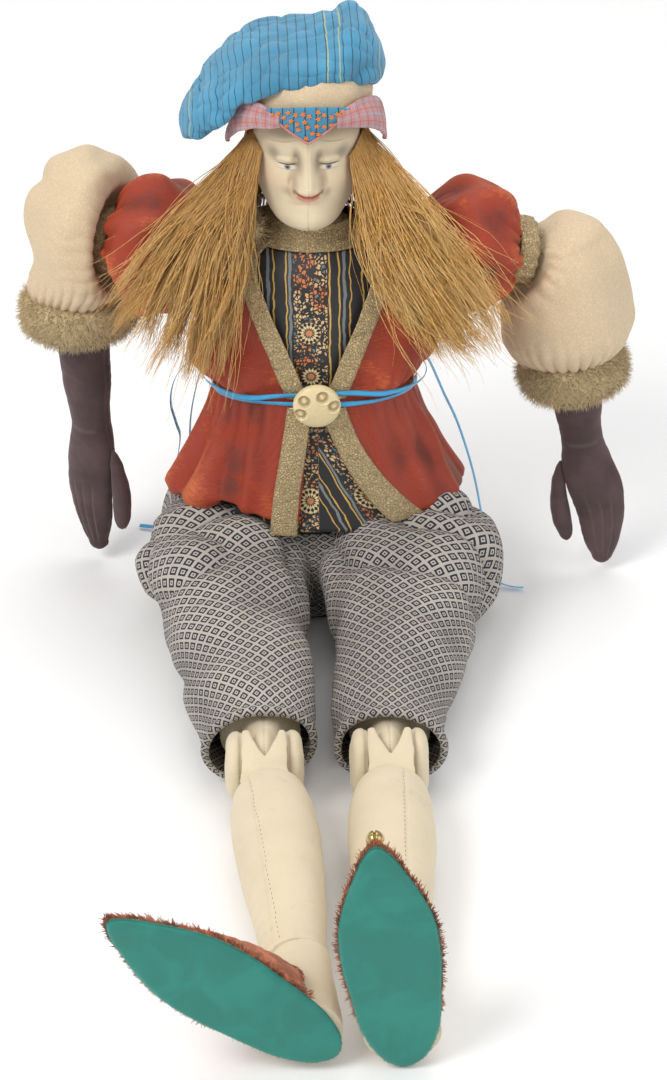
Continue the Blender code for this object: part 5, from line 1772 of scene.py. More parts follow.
def make_hair(settings):
    """Long loose mohair: a fall over each shoulder and a short back."""
    colour = finish_for("mohair")
    for side, sign in SIDES.items():
        if side == "right":
            guides = [
                [(-27, -30, 318), (-31, -36, 298), (-34, -40, 276), (-40, -48, 250), (-50, -54, 222), (-57, -57, 190)],
                [(-29, -27, 320), (-35, -37, 300), (-44, -46, 276), (-54, -53, 248), (-64, -57, 218), (-72, -58, 184)],
                [(-31, -22, 322), (-40, -35, 304), (-54, -46, 280), (-68, -54, 252), (-80, -58, 224), (-90, -58, 196)],
                [(-32, -15, 322), (-46, -30, 306), (-64, -43, 284), (-82, -51, 260), (-97, -55, 238), (-108, -55, 216)],
                [(-33, -6, 322), (-50, -22, 308), (-70, -36, 292), (-90, -45, 272), (-108, -48, 252), (-122, -48, 236)]]
        else:
            guides = [
                [(25, -32, 318), (27, -37, 296), (29, -42, 274), (36, -50, 248), (48, -55, 226), (62, -57, 204)],
                [(28, -28, 320), (35, -37, 298), (43, -46, 270), (54, -54, 244), (68, -58, 220), (84, -58, 198)],
                [(30, -22, 322), (40, -34, 302), (53, -46, 276), (68, -55, 248), (84, -58, 222), (100, -57, 200)],
                [(32, -14, 322), (45, -28, 306), (60, -42, 284), (78, -51, 258), (96, -55, 232), (110, -54, 208)],
                [(33, -5, 322), (48, -18, 310), (64, -32, 296), (82, -43, 276), (100, -48, 252), (114, -49, 226)]]
        guides = [[(x + HEAD_SIDE * min(1, max(0, (z - 215) / 60)), y, z) for x, y, z in guide] for guide in guides]
        lines = hair_lines(guides, settings.hair_count, 7 + sign, 3.4, 34)
        piece = threads(f"mohair_fall_{side}", lines, colour, 0.30, 0.25)
        bends_between(piece, "torso", "head", (sign * 70, -50, 235), (sign * 34, -30, 300), "mohair",
                      f"hair_{side}")
        stray = hair_lines(guides, 90, 23 + sign, 4.5, 30, 15, 0.5)
        wisps = threads(f"mohair_wisps_{side}", stray, colour, 0.14, 0.3)
        bends_between(wisps, "torso", "head", (sign * 70, -50, 235), (sign * 34, -30, 300), "mohair")
    guides = []
    for degrees in (86, 110, 135, 160, 180, 200, 225, 250, 274):
        turn = math.radians(degrees)
        guides.append([(HEAD_SIDE + (34 + bulge) * math.sin(turn), -6 - (38 + bulge) * math.cos(turn), height)
                       for bulge, height in ((0, 328), (3, 312), (5, 290), (10, 266), (18, 243))])
    lines = hair_lines(guides, 900, 3, 1.0, 50, 9, 0.3)
    piece = threads("mohair_back", lines, colour, 0.36, 0.3)
    rides_on(piece, "head", "mohair", "hair_back")


# ---------------------------------------------------------------- arms and hands

def rod_grid(start, direction, profile, count, near=(0, 0, 1)):
    """Rings along a straight line, from rows of distance and radius, or distance and two radii."""
    start, direction = np.array(start), np.array(Vector(direction).normalized())
    place, first, second = np.array([(row[0], row[1], row[-1]) for row in profile], float).T[:, :, None, None]
    across = np.array(near) - direction * direction.dot(near)
    across /= np.linalg.norm(across)
    beside = np.cross(direction, across)
    turn = (np.arange(count) / count * 2 * np.pi)[None, :, None]
    return start + direction * place + across * np.cos(turn) * first + beside * np.sin(turn) * second


def make_velvet_puff(side, sign):
    """The gathered velvet puff over the shoulder."""
    keys = [(-13, 20), (-7, 27), (0, 35.5), (10, 42), (20, 43.5), (32, 40), (40, 32), (45.5, 21.5)]
    place = np.linspace(-13, 45.5, 90)
    radius = between(keys, place)[:, 0]
    grid = rod_grid(SHOULDER[side], OUT[side], np.stack([place, radius], axis=1), 190)
    turn = np.arange(190)[None, :] / 190
    ends = np.clip(np.maximum(step_up(-place, -2, 12), step_up(place, 22, 44)), 0, 1)[:, None]
    tucks = gathers(turn + 0.012 * wobble(grid, 22, 4), 26)
    ridge = 0.5 + 0.5 * np.sin(turn * 2 * np.pi * 7 + 2.4 * wobble(grid, 44, 14 + sign))
    drape = 0.55 * ridge + 0.45 * soft_folds(grid, 50, 24 + sign)
    amount = 2.0 * tucks * ends + 6.5 * drape - 4.6
    grid = push(grid, amount * (0.35 + 0.65 * step_up(place, -13, 0))[:, None], True)
    piece = skin(f"velvet_puff_{side}", grid, finish_for("rust velvet"))
    # Fold height, from which the velvet paints light on the ridges and shade in the valleys.
    put_fold(piece, 0.30 * tucks * ends + 0.75 * drape)
    thicken(piece, 1.2)
    start = SHOULDER[side] + OUT[side] * -16
    end = SHOULDER[side] + OUT[side] * 12
    bends_between(piece, "torso", f"shoulder_{side}", start, end, "rust_velvet", f"sleeve_puff_{side}")


def make_sleeve_band(side):
    place = np.array([45.5, 46.5, 49, 52, 55, 57.5, 58.3])
    radius = np.array([19.6, 20.6, 21.0, 21.2, 21.0, 20.6, 19.6])
    grid = rod_grid(SHOULDER[side], OUT[side], np.stack([place, radius], axis=1), 120)
    turn = np.arange(120)[None, :] / 120
    grid = push(grid, 0.5 * np.sin(turn * 2 * np.pi * 17) + 0.4 * wobble(grid, 8, 5), True)
    piece = skin(f"braid_sleeve_band_{side}", grid, finish_for("gold braid"))
    thicken(piece, 2.2)
    rides_on(piece, f"upper_arm_{side}", "gold_trim", f"sleeve_band_{side}")


def make_cotton_sleeve(side, sign):
    """The full printed sleeve, gathered into the braid above and into the fur cuff below."""
    cuff = CUFF_PLACE[side]
    if side == "left":
        keys = [(-22.5, 1.5), (-21, 10), (-17, 23), (-10, 30), (0, 35.5), (20, 40), (40, 42.5), (54, 42),
                (65, 35), (72, 27), (78, 22)]
        shift = 0
    else:
        keys = [(-56.5, 1.5), (-54, 13), (-49, 26), (-43, 33), (-36, 38.5), (-18, 44.5),
                (2, 45.5), (20, 41), (33, 33), (40, 27), (46, 23)]
        shift = 16
    place = np.concatenate([np.linspace(keys[0][0], keys[0][0] + 6, 12), np.linspace(keys[0][0] + 7, keys[-1][0], 86)])
    radius = np.maximum(between(keys, place)[:, 0], 0.8)
    start = ELBOW[side] + Vector((shift, 0, 0))
    grid = rod_grid(start, DOWN[side], np.stack([place, radius], axis=1), 190)
    slide = step_up(place, cuff - 40, cuff)[:, None, None] * np.array((-shift, 0, 0))
    grid = grid + slide
    turn = np.arange(190)[None, :] / 190
    hem = step_up(place, cuff - 46, cuff - 10)[:, None]
    tucks = gathers(turn + 0.010 * wobble(grid, 24, 9), 30)
    drape = soft_folds(grid * (1, 0.8, 0.6), 46, 41 + sign)
    grid = push(grid, 2.4 * tucks * hem + 5.0 * drape - 3.4, True)
    out = np.array(OUT[side])
    shoulder = np.array(SHOULDER[side])
    along = (grid - shoulder) @ out
    spot = grid - shoulder - along[..., None] * out
    reach = np.linalg.norm(spot, axis=2)
    angle = np.arctan2(spot[..., 2], spot[..., 1])
    pleat = np.abs(np.sin(angle * 12 + 0.8 * wobble(grid, 18, 2)))
    near = step_up(-along, -76, -60)
    wall = 59.0 - 15.0 * step_up(reach, 22, 36) + 2.0 * pleat * step_up(-reach, -46, -24)
    past = along - wall
    moved = wall + 0.5 * (past + np.sqrt(past ** 2 + 14.0 ** 2)) - 1.5
    grid = grid + (moved - along)[..., None] * out
    grid = push(grid, 1.6 * pleat * near * step_up(-reach, -52, -30), True)
    piece = skin(f"cotton_sleeve_{side}", grid, finish_for("printed cotton"), cap_start=True)
    thicken(piece, 0.8)
    start = ELBOW[side] + DOWN[side] * -14
    end = ELBOW[side] + DOWN[side] * 38
    bends_between(piece, f"upper_arm_{side}", f"forearm_{side}", start, end, "cream_print",
                  f"sleeve_lower_{side}")


def make_fur_cuff(settings, side, sign):
    middle, radius = CUFF_PLACE[side], CUFF_RADIUS[side]
    place = np.array([-12, -11, -8, -3, 3, 8, 11.5, 12.5, 11.5, 8, 0, -8, -11, -12]) + middle
    size = np.array([0.76, 0.82, 0.88, 0.92, 0.92, 0.88, 0.80, 0.72, 0.60, 0.56, 0.55, 0.56, 0.62, 0.70]) * radius
    grid = rod_grid(ELBOW[side], DOWN[side], np.stack([place, size], axis=1), 72)
    grid = push(grid, 0.8 * wobble(grid, 12, 4), True)
    closed = np.concatenate([grid, grid[:1]], axis=0)
    base = skin(f"fur_cuff_base_{side}", closed, finish_for("fur"))
    weld = base.modifiers.new("weld", "WELD")
    weld.merge_threshold = 1e-6
    settle(base)
    comb = tuple(np.array(DOWN[side]) * 0.55)
    piece = fur_on(f"rabbit_fur_cuff_{side}", base, finish_for("fur"), settings.fur_density, 5.6, comb, 0.65,
                   11 + sign, 0.22)
    rides_on(piece, f"forearm_{side}", "fur", f"fur_cuff_{side}")


def make_glove(side):
    """Forearm and mitten hand in one, with sewn finger grooves, and the thumb."""
    start, down = np.array(ELBOW[side]), np.array(DOWN[side])
    keys = [(-13, 1, 1, 0), (-9, 9.5, 9.5, 0), (0, 13, 13, 0), (30, 15.5, 14.5, 0),
            (60, 17, 14.5, 0), (100, 16, 13.5, 0), (124, 13.2, 11.5, 0), (132, 13.2, 11.2, 0),
            (146, 16, 10.5, -1), (166, 17.5, 9.5, -4), (186, 15.4, 8.5, -6), (206, 12, 7, -5), (217, 8, 5.4, -4), (224.5, 3.6, 3.4, -3), (GLOVE_LENGTH, 1, 1, -3)]
    place = np.concatenate([np.linspace(-13, -5, 8), np.linspace(-2, GLOVE_LENGTH, 170)])
    half, thick, aside = between(keys, place).T
    half, thick = np.maximum(half, 0.6), np.maximum(thick, 0.6)
    width = np.array(HAND_WIDTH[side], float)
    across = width - down * width.dot(down)
    across /= np.linalg.norm(across)
    beside = np.cross(down, across)
    count = 144
    turn = np.arange(count) / count * 2 * np.pi
    cosine, sine = np.cos(turn)[None, :], np.sin(turn)[None, :]
    centre = start + down * place[:, None] - across * aside[:, None]
    sidestep = cosine * half[:, None]
    grid = centre[:, None] + across * sidestep[..., None] + beside * (sine * thick[:, None])[..., None]
    groove = np.zeros(sidestep.shape)
    fingers = step_up(place, 168, 186)[:, None] * step_up(-place, -221, -214)[:, None]
    for part in (-0.42, 0.02, 0.46):
        groove += np.exp(-((cosine - part - 0.0 * sine) * half[:, None] / 0.8) ** 2) * fingers
    wrist = bump_at(place, 131, 1.2)[:, None] * step_up(-np.abs(cosine), -0.9, -0.6)
    edge = bump_at(np.abs(cosine) * np.ones_like(sidestep), 1.0, 0.012)
    worn = 0.35 * wobble(grid, 16, 7) + 0.35 * creases(grid * (1, 1, 2.2), 17, 9)
    grid = push(grid, -1.0 * np.clip(groove, 0, 1) - 0.7 * wrist - 0.4 * edge + worn, True)
    suede_cloth = finish_for("glove suede")
    hand = skin(f"suede_hand_{side}", grid, suede_cloth, cap_start=True, cap_end=True)
    put_fold(hand, 0.9 * np.clip(groove, 0, 1) + 0.8 * wrist + 0.25 * edge)

    thumb_keys = [(146, 15.5, 0.6, 0.8), (149, 16.6, 1.8, 2.4), (155, 17.8, 3.6, 3.8), (164, 19.0, 4.8, 5),
                  (176, 19.8, 5.8, 6), (190, 19.4, 6.0, 5.6),
                  (198, 18.6, 4.8, 4.6), (203, 18.2, 2.6, 2.8), (205, 18.0, 0.6, 0.6)]
    thumb_place = np.linspace(146, 205, 56)
    thumb_aside, thumb_half, thumb_thick = between(thumb_keys, thumb_place).T
    thumb_centre = start + down * thumb_place[:, None] - across * thumb_aside[:, None]
    ring = np.arange(64) / 64 * 2 * np.pi
    thumb_grid = (thumb_centre[:, None]
                  + across * (np.cos(ring)[None, :] * np.maximum(thumb_half, 0.5)[:, None])[..., None]
                  + beside * (np.sin(ring)[None, :] * np.maximum(thumb_thick, 0.5)[:, None])[..., None])
    thumb_grid = push(thumb_grid, 0.3 * wobble(thumb_grid, 7, 3), True)
    thumb = skin(f"suede_thumb_{side}", thumb_grid, suede_cloth, cap_start=True, cap_end=True)
    put_fold(thumb, np.zeros(thumb_grid.shape[:2]))
    rides_on(hand, f"forearm_{side}", "glove_suede", f"glove_{side}")
    rides_on(thumb, f"forearm_{side}", "glove_suede", f"thumb_{side}")

    rust = finish_for("red thread")
    first = int(np.argmin(np.abs(place - 92)))
    last = int(np.argmin(np.abs(place - 223)))
    seams = []
    for column in (0, count // 2):
        face = 6 if column == 0 else -6
        spot = (column + face) % count
        seams.append([tuple(grid[row, spot]) for row in range(first, last)])
    seams.append([tuple(thumb_grid[row, 34]) for row in range(10, 54)])
    seams.append([tuple(thumb_grid[row, 62]) for row in range(12, 54)])
    sewn = stitches(f"hand_overcast_{side}", seams, rust, 1.9, 2.0, 0.34, 0.95)
    rides_on(sewn, f"forearm_{side}", "glove_suede")


def make_arm(settings, side, sign):
    make_velvet_puff(side, sign)
    make_sleeve_band(side)
    make_cotton_sleeve(side, sign)
    make_fur_cuff(settings, side, sign)
    make_glove(side)


# ---------------------------------------------------------------- trousers, legs and shoes

TROUSER_LINE = {
    # along the line: place of the middle, half width across, half height beside
    "left": [((42, 34, 36), 26, 28), ((48, 14, 37), 38, 33), ((53, -8, 38), 46, 36.5), ((57, -34, 39), 51, 38),
             ((58, -58, 38.5), 50, 37.5), ((55, -86, 38), 45, 36.5), ((49, -120, 35), 41.5, 34.5),
             ((44, -160, 32), 37, 31), ((39.5, -195, 29.5), 33, 28), ((37.5, -222, 28), 31.5, 26)],
    "right": [((-42, 34, 36), 26, 28), ((-48, 14, 37), 38, 33), ((-53, -8, 38), 46, 36.5), ((-56, -34, 39), 49, 38),
              ((-56, -58, 38.5), 48, 37.5), ((-54, -86, 38), 44, 36.5), ((-49, -120, 35), 41.5, 34.5),
              ((-45, -160, 32), 38, 31), ((-41, -195, 29.5), 34, 28), ((-38.5, -218, 28), 32, 26)],
}


def make_trouser_half(settings, side, sign):
    """One half of the trousers, from the waist under the jacket to the rolled hem at the knee."""
    keys = TROUSER_LINE[side]
    route = np.array([key[0] for key in keys], float)
    spots = np.concatenate([[0], np.cumsum(np.linalg.norm(np.diff(route, axis=0), axis=1))])
    table = np.concatenate([spots[:, None], route, np.array([key[1:] for key in keys], float)], axis=1)
    run = np.linspace(0, spots[-1], 170)
    found = between(table, run)
    line, wide, tall = found[:, :3], found[:, 3], found[:, 4]
    cols = 180
    grid = tube_grid(line, wide, tall, cols, near=(1, 0, 0), power=2.25)
    waist = step_up(-run, -45, -10)[:, None]
    hem = step_up(run, spots[-1] - 26, spots[-1] - 4)[:, None]
    slack = bump_at(run, 82, 52)[:, None]
    drape = soft_folds(grid * (0.7, 1, 1), 70, 51 + sign)
    slanted = grid * (0.55, 1, 1.1)
    slanted[..., 2] += 0.25 * sign * grid[..., 0]
    swag = creases(slanted, 44, 61 + sign)
    fine = soft_folds(grid, 46, 4 + sign)
    amount = slack * (7.5 * drape + 9.0 * swag - 6.4) + (1 - slack) * (1 - hem) * (3.4 * drape + 2.0 * fine - 2.0)
    amount = amount * (1 - 0.85 * waist) + hem * (1.2 * fine - 0.6)
    roll = bump_at(run, spots[-1] - 3.0, 2.4)[:, None]
    tuck = step_up(run, spots[-1] - 1.6, spots[-1])[:, None]
    amount += 1.6 * roll - 3.0 * tuck
    grid = push(grid, amount, True)
    inner = sign * grid[..., 0]
    grid[..., 0] = sign * np.where(inner < 0.8, 0.8 + 0.04 * inner, inner)
    grid[..., 2] = np.maximum(grid[..., 2], 0.5)
    piece = skin(f"trousers_{side}", grid, finish_for("diamond cloth"), uv_turn=0.92)
    # Fold height, whose valleys the diamond cloth darkens as painted shade.
    fold = 0.55 * drape + 0.35 * swag + 0.25 * fine + 0.1
    put_fold(piece, fold)
    thicken(piece, 1.3)
    hip = HIP[side]
    start = hip + Vector((0, 14, 44))
    end = hip + Vector((0, -46, -4))
    bends_between(piece, "torso", f"thigh_{side}", start, end, "diamond_weave", f"trouser_leg_{side}")


def make_seat(settings):
    """The back of the trousers, where the doll sits on them."""
    heights = np.linspace(0.6, 130, 60)
    keys = [(0, 82, 52, 8), (3, 90, 58, 8), (12, 96, 61, 8), (45, 97, 61, 8), (62, 91, 57, 8), (74, 81, 51, 6),
            (90, 70, 46, 2), (110, 60, 43, 0), (130, 54, 41, 0)]
    turns = np.linspace(0, 360, 201)[:-1]
    radians = np.radians(turns)
    levels = heights[:, None] * (1 - 0.5 * step_up(np.cos(radians), -0.3, 0.5)[None, :])
    wide, deep, middle = np.moveaxis(between(keys, levels.ravel()).reshape(*levels.shape, 3), -1, 0)
    grid = np.stack([(wide + 1.0) * np.sin(radians), middle - (deep + 1.0) * np.cos(radians), levels], axis=-1)
    drape = soft_folds(grid * (1, 1, 0.7), 55, 71)
    lift = (step_up(heights, 0, 16) * (1 - step_up(heights, 58, 74)))[:, None]
    grid = push(grid, lift * (5.0 * drape - 3.4), True)
    seam = bump_at(turns, 180, 1.2)[None, :]
    grid = push(grid, -1.2 * seam * np.ones((60, 1)), True)
    piece = skin("trouser_back", grid, finish_for("diamond cloth"))
    # Fold height, lower at the sunken seam and in the valleys, where the diamond cloth paints shade.
    put_fold(piece, 0.3 + 0.7 * drape - 0.5 * seam)
    thicken(piece, 1.3)
    rides_on(piece, "torso", "diamond_weave", "trouser_seat")


def leg_axes(side):
    along = (ANKLE[side] - KNEE[side]).normalized()
    return np.array(along)


SHIN_SEAM = {"left": 7.5, "right": -12.5}


def make_shin(side):
    """Lower leg of ribbed cotton with its hand-sewn front seam, and the fork round the knee."""
    knee, along = np.array(KNEE[side]), leg_axes(side)
    length = (knee[1] + 400) / -along[1]
    keys = [(21, 9, 13), (23, 15, 16), (27, 19, 19.5), (36, 22, 22.5), (60, 24.5, 24.8),
            (100, 23, 23.4), (140, 19.2, 19.6), (158, 17.2, 17.8), (length + 0.2, 16.2, 16.4)]
    place = np.linspace(21, length + 0.2, 160)
    half = between(keys, place)
    grid = rod_grid(knee, along, np.concatenate([place[:, None], half], axis=1), 140, near=(1, 0, 0))
    ankle = step_up(place, 118, 150)[:, None]
    crease = np.abs(np.sin(place / 2.6 + 0.0))[:, None] * np.clip(0.5 + 0.6 * wobble(grid, 22, 6), 0, 1)
    x = (grid - (knee + along * place[:, None])[:, None])[..., 0]
    top = grid[..., 2] - (knee + along * place[:, None])[:, None, 2] > 0
    seam = bump_at(x, SHIN_SEAM[side], 0.7) * top
    grid = push(grid, 0.7 * crease * ankle + 0.5 * wobble(grid, 30, 8) - 0.8 * seam, True)
    piece = skin(f"cotton_shin_{side}", grid, finish_for("leg cotton"), cap_start=True, cap_end=True)
    rides_on(piece, f"shin_{side}", "body_cloth", f"shin_{side}")
    line = []
    for row in range(6, 156, 2):
        spot = int(np.argmin(np.abs(x[row] - SHIN_SEAM[side] * (1 - row / 500)) + 100 * ~top[row]))
        line.append(tuple(grid[row, spot]))
    sewn = stitches(f"shin_seam_{side}", [line], finish_for("brown thread"), 3.4, 1.5, 0.20)
    rides_on(sewn, f"shin_{side}", "body_cloth")


def make_knee(side, sign):
    """The round middle lobe with its seam, the two stuffed discs and the forked web."""
    cotton = finish_for("leg cotton")
    knee, hip = np.array(KNEE[side]), np.array(HIP[side])
    along = (knee - hip) / np.linalg.norm(knee - hip)
    length = np.linalg.norm(knee - hip)
    reach = np.linspace(-24, length - 30, 40)
    thigh_radius = np.where(reach < 0, np.sqrt(np.clip(24.0 ** 2 - np.clip(reach, -23.8, 0) ** 2, 4, None)), 24.0)
    rings = [(hip + along * spot, 23.7 * rad / 24, 23.7 * rad / 24) for spot, rad in zip(reach, thigh_radius)]
    neck = hip + along * (length - 24)
    rings.append((neck, 19.0, 14.0))
    for turn in np.linspace(-24, 84, 30):
        back = 21.8 * math.sin(math.radians(turn))
        tall = 21.8 * math.cos(math.radians(turn))
        wide = 10.3 * max(0.14, math.cos(math.radians(turn * 0.94)) ** 0.25)
        rings.append((knee + np.array((0, -back, 0)), tall, wide))
    route = np.array([ring[0] for ring in rings])
    tall = np.array([ring[1] for ring in rings])
    wide = np.array([ring[2] for ring in rings])
    grid = tube_grid(route, wide, tall, 96, near=(1, 0, 0))
    seam = bump_at(grid[..., 0], knee[0], 0.6) * (route[:, 1] < knee[1] + 24)[:, None]
    grid = push(grid, -0.9 * seam + 0.25 * wobble(grid, 14, 2), True)
    piece = skin(f"cotton_thigh_{side}", grid, cotton, cap_start=True, cap_end=True)
    rides_on(piece, f"thigh_{side}", "body_cloth", f"thigh_{side}")
    lobe = [row for row in range(len(route)) if route[row, 1] < knee[1] + 20]
    spot = [int(np.argmin(np.abs(grid[row, :, 0] - knee[0]) + 100 * (grid[row, :, 2] < route[row, 2]))) for row in lobe]
    line = [tuple(grid[row, place]) for row, place in zip(lobe, spot)]
    sewn = stitches(f"knee_seam_{side}", [line], finish_for("brown thread"), 2.2, 1.2, 0.18)
    rides_on(sewn, f"thigh_{side}", "body_cloth")

    for where, away in (("outer", sign), ("inner", -sign)):
        start = knee + np.array((away * 10.7, 0, 0))
        depth = np.array([0.2, 0.6, 1.6, 3.2, 5.4, 7.6, 9.4, 10.8, 11.7, 12.1, 12.3])
        radius = np.array([9.0, 15.6, 18.6, 20.0, 20.3, 19.8, 18.3, 15.6, 11.4, 6.0, 1.0])
        fine = np.linspace(0, 10, 40)
        depth = np.interp(fine, range(11), depth)
        radius = np.interp(fine, range(11), radius)
        disc = rod_grid(start, (away, 0, 0), np.stack([depth, radius], axis=1), 80)
        disc = push(disc, 0.45 * wobble(disc, 9, 5 + away) - 0.7 * bump_at(depth, 3.2, 0.5)[:, None], True)
        puff = skin(f"knee_disc_{where}_{side}_cotton", disc, cotton, cap_start=True, cap_end=True)
        finer = puff.modifiers.new("soften", "SMOOTH")
        finer.iterations = 3
        settle(puff)
        rides_on(puff, f"shin_{side}", "body_cloth", f"knee_disc_{where}_{side}")

    arms = []
    for away in (-1, 1):
        path = smooth_route([knee + np.array((away * 4, -27, 11)), knee + np.array((away * 5.5, -22, 17)),
                             knee + np.array((away * 8.6, -13, 22)), knee + np.array((away * 10.6, 1, 24.0))], 8)
        spots = np.linspace(0, 1, len(path))
        half = np.interp(spots, [0, 0.35, 0.7, 1], [11.0, 8.0, 4.6, 2.0])
        arm = tube_grid(path, half, 1.5 + 0 * half, 24, near=(1, 0, 0))
        arm = push(arm, 0.3 * wobble(arm, 6, 3), True)
        arms.append(skin("fork_part", arm, cotton, cap_start=True, cap_end=True))
    fork = joined(f"knee_web_{side}", arms)
    even = fork.modifiers.new("even", "REMESH")
    even.mode = "VOXEL"
    even.voxel_size = 0.6 * MM
    soften = fork.modifiers.new("soften", "SMOOTH")
    soften.iterations = 6
    settle(fork)
    fork.data.polygons.foreach_set("use_smooth", [True] * len(fork.data.polygons))
    rides_on(fork, f"shin_{side}", "body_cloth")


def sole_line(side, y, grow=0.0, steps=200):
    """Round heel, broad ball and pointed toe, as a closed line at a depth."""
    toe = np.array(TOE[side])
    wide = np.cross((0.0, -1.0, 0.0), toe)
    keys = [(-1.0, 0.0), (-0.94, 0.36), (-0.8, 0.62), (-0.6, 0.8), (-0.3, 0.9), (0.0, 0.98),
            (0.3, 0.94), (0.55, 0.74), (0.78, 0.46), (0.92, 0.26), (1.0, 0.0)]
    corners = [(part, width) for part, width in keys] + [(part, -width) for part, width in keys[-2:0:-1]]
    count = len(corners)
    loop = np.array(corners + corners[:3])
    points = []
    for index in range(count):
        before, start, end, after = (loop[(index + shift) % count] for shift in (0, 1, 2, 3))
        for step in range(steps // count):
            t = step / (steps // count)
            points.append(0.5 * (2 * start + (end - before) * t + (2 * before - 5 * start + 4 * end - after) * t ** 2
                                 + (3 * start - before - 3 * end + after) * t ** 3))
    points = np.array(points)
    middle = SOLE_LENGTH / 2 - HEEL_BACK
    centre = np.array(ANKLE[side])
    flat = (centre + toe * (middle + points[:, :1] * (SOLE_LENGTH / 2 + grow))
            + wide * (points[:, 1:] * (SOLE_HALF_WIDTH + grow)))
    flat[:, 1] = y
    return flat, middle


def make_shoe(settings, side, sign):
    """Stuffed foot, velvet upper with its raw edge, and the padded velvet sole."""
    toe = np.array(TOE[side])
    wide = np.cross((0.0, -1.0, 0.0), toe)
    ankle = np.array(ANKLE[side])
    keys = [(-400.1, 0, 16.2, 16.4), (-415, 0, 17.2, 17.2), (-430, -1, 18.2, 19), (-445, -2, 18.8, 20),
            (-452.6, -2, 18.8, 20.2)]
    depth = np.linspace(400.1, 452.6, 40)
    flipped = [(-key[0], *key[1:]) for key in keys]
    shift, half_long, half_wide = between(flipped, depth).T
    turn = np.arange(120) / 120 * 2 * np.pi
    centre = ankle + toe * shift[:, None]
    centre[:, 1] = -depth
    grid = (centre[:, None] + toe * (np.cos(turn)[None, :] * half_long[:, None])[..., None]
            + wide * (np.sin(turn)[None, :] * half_wide[:, None])[..., None])
    crease = np.abs(np.sin(depth / 2.8))[:, None] * np.clip(0.5 + 0.7 * wobble(grid, 18, 6), 0, 1)
    grid = push(grid, 0.6 * crease * step_up(-depth, -432, -410)[:, None] + 0.3 * wobble(grid, 16, 3), True)
    foot = skin(f"cotton_foot_{side}", grid, finish_for("leg cotton"), cap_start=True, cap_end=True)
    rides_on(foot, f"foot_{side}", "body_cloth", f"foot_{side}")

    upper_keys = [(17.5, 21.5, 31), (26, 23.5, 30), (36, 24.2, 27.5), (60, 23, 21.5), (85, 16, 14.5),
                  (104, 9, 9), (115, 4.5, 5.5), (121, 1.2, 2.5)]
    spots = np.linspace(17.5, 121, 90)
    half, tall = between(upper_keys, spots).T
    arc = np.linspace(0, np.pi, 80)
    centre = ankle + toe * spots[:, None]
    centre[:, 1] = SOLE_TOP_Y + 0.3
    arch = (centre[:, None] + wide * (np.cos(arc)[None, :] * half[:, None])[..., None]
            + np.array((0.0, 1.0, 0.0)) * (np.sin(arc)[None, :] ** 0.8 * tall[:, None])[..., None])
    arch = push(arch, 0.9 * creases(arch, 13, 5 + sign) - 0.3, False)
    upper = skin(f"velvet_upper_{side}", arch, finish_for("shoe velvet"), close=False)
    thicken(upper, 1.6)
    rides_on(upper, f"foot_{side}", "shoe_velvet", f"shoe_upper_{side}")

    rows = []
    for down, grow in ((0, -1.5), (0.3, 0.2), (1.4, 0.8), (2.8, 0.4), (3.7, -0.8)):
        y = SOLE_TOP_Y - down
        line, middle = sole_line(side, y, grow)
        rows.append(line)
    heart = ankle + toe * middle
    heart[1] = SOLE_TOP_Y - 4.0
    outer = rows[-1]
    for part in (0.95, 0.88, 0.78, 0.66, 0.52, 0.38, 0.24, 0.12, 0.03):
        ring = heart + (outer - heart) * part
        ring[:, 1] = SOLE_TOP_Y - 4.0 - 0.5 * (1 - part) + 0.35 * wobble(ring, 24, 3)
        rows.append(ring)
    sole = skin(f"velvet_sole_{side}", np.array(rows), finish_for("teal velvet"), cap_start=True, cap_end=True)
    rides_on(sole, f"foot_{side}", "teal_velvet", f"shoe_sole_{side}")

    random = np.random.default_rng(31 + sign)
    tufts, nap = [], []
    line, middle = sole_line(side, SOLE_TOP_Y - 0.8, 0.3, 1200)
    heart = ankle + toe * middle
    heart[1] = SOLE_TOP_Y - 0.8
    for point in line:
        away = point - heart
        forward = (point - ankle).dot(toe)
        away /= np.linalg.norm(away)
        lean = random.normal(0, 0.35, 3)
        if forward > 12:
            for _ in range(2):
                start = point + random.normal(0, 0.4, 3) + np.array((0, 1.0, 0))
                tip = start + (away + lean + np.array((0, 0.3 * random.random(), 0))) * random.uniform(1.2, 3.0)
                tufts.append([tuple(start), tuple((start + tip) / 2 + random.normal(0, 0.25, 3)), tuple(tip)])
        start = point + random.normal(0, 0.2, 3) + np.array((0, -1.4, 0))
        tip = start + (away + lean * 0.6) * random.uniform(0.5, 1.1)
        nap.append([tuple(start), tuple(tip)])
    for row in range(80):
        point = arch[0, row]
        for _ in range(5):
            start = point + random.normal(0, 0.5, 3)
            tip = start - toe * random.uniform(0.8, 2.6) + random.normal(0, 0.6, 3)
            tufts.append([tuple(start), tuple(tip)])
    fringe = threads(f"raw_edge_{side}", tufts, finish_for("shoe velvet"), 0.26, 0.4)
    rides_on(fringe, f"foot_{side}", "shoe_velvet")
    pile = threads(f"sole_pile_{side}", nap, finish_for("teal velvet"), 0.22, 0.4)
    rides_on(pile, f"foot_{side}", "teal_velvet")

    seam = []
    line, _ = sole_line(side, SOLE_TOP_Y + 0.6, -0.8, 400)
    for point in line:
        if (point - ankle).dot(toe) < 16:
            seam.append(point)
    cut = max(range(1, len(seam)), key=lambda index: np.linalg.norm(seam[index] - seam[index - 1]))
    if np.linalg.norm(seam[cut] - seam[cut - 1]) > 8:
        seam = seam[cut:] + seam[:cut]
    foot_line = [tuple(point - (point - ankle) * (0.10, 0, 0.10) + (0, 1.0, 0)) for point in seam]
    sewn = stitches(f"heel_stitches_{side}", [foot_line], finish_for("dark thread"), 2.6, 2.2, 0.22, 1.2)
    rides_on(sewn, f"foot_{side}", "teal_velvet")


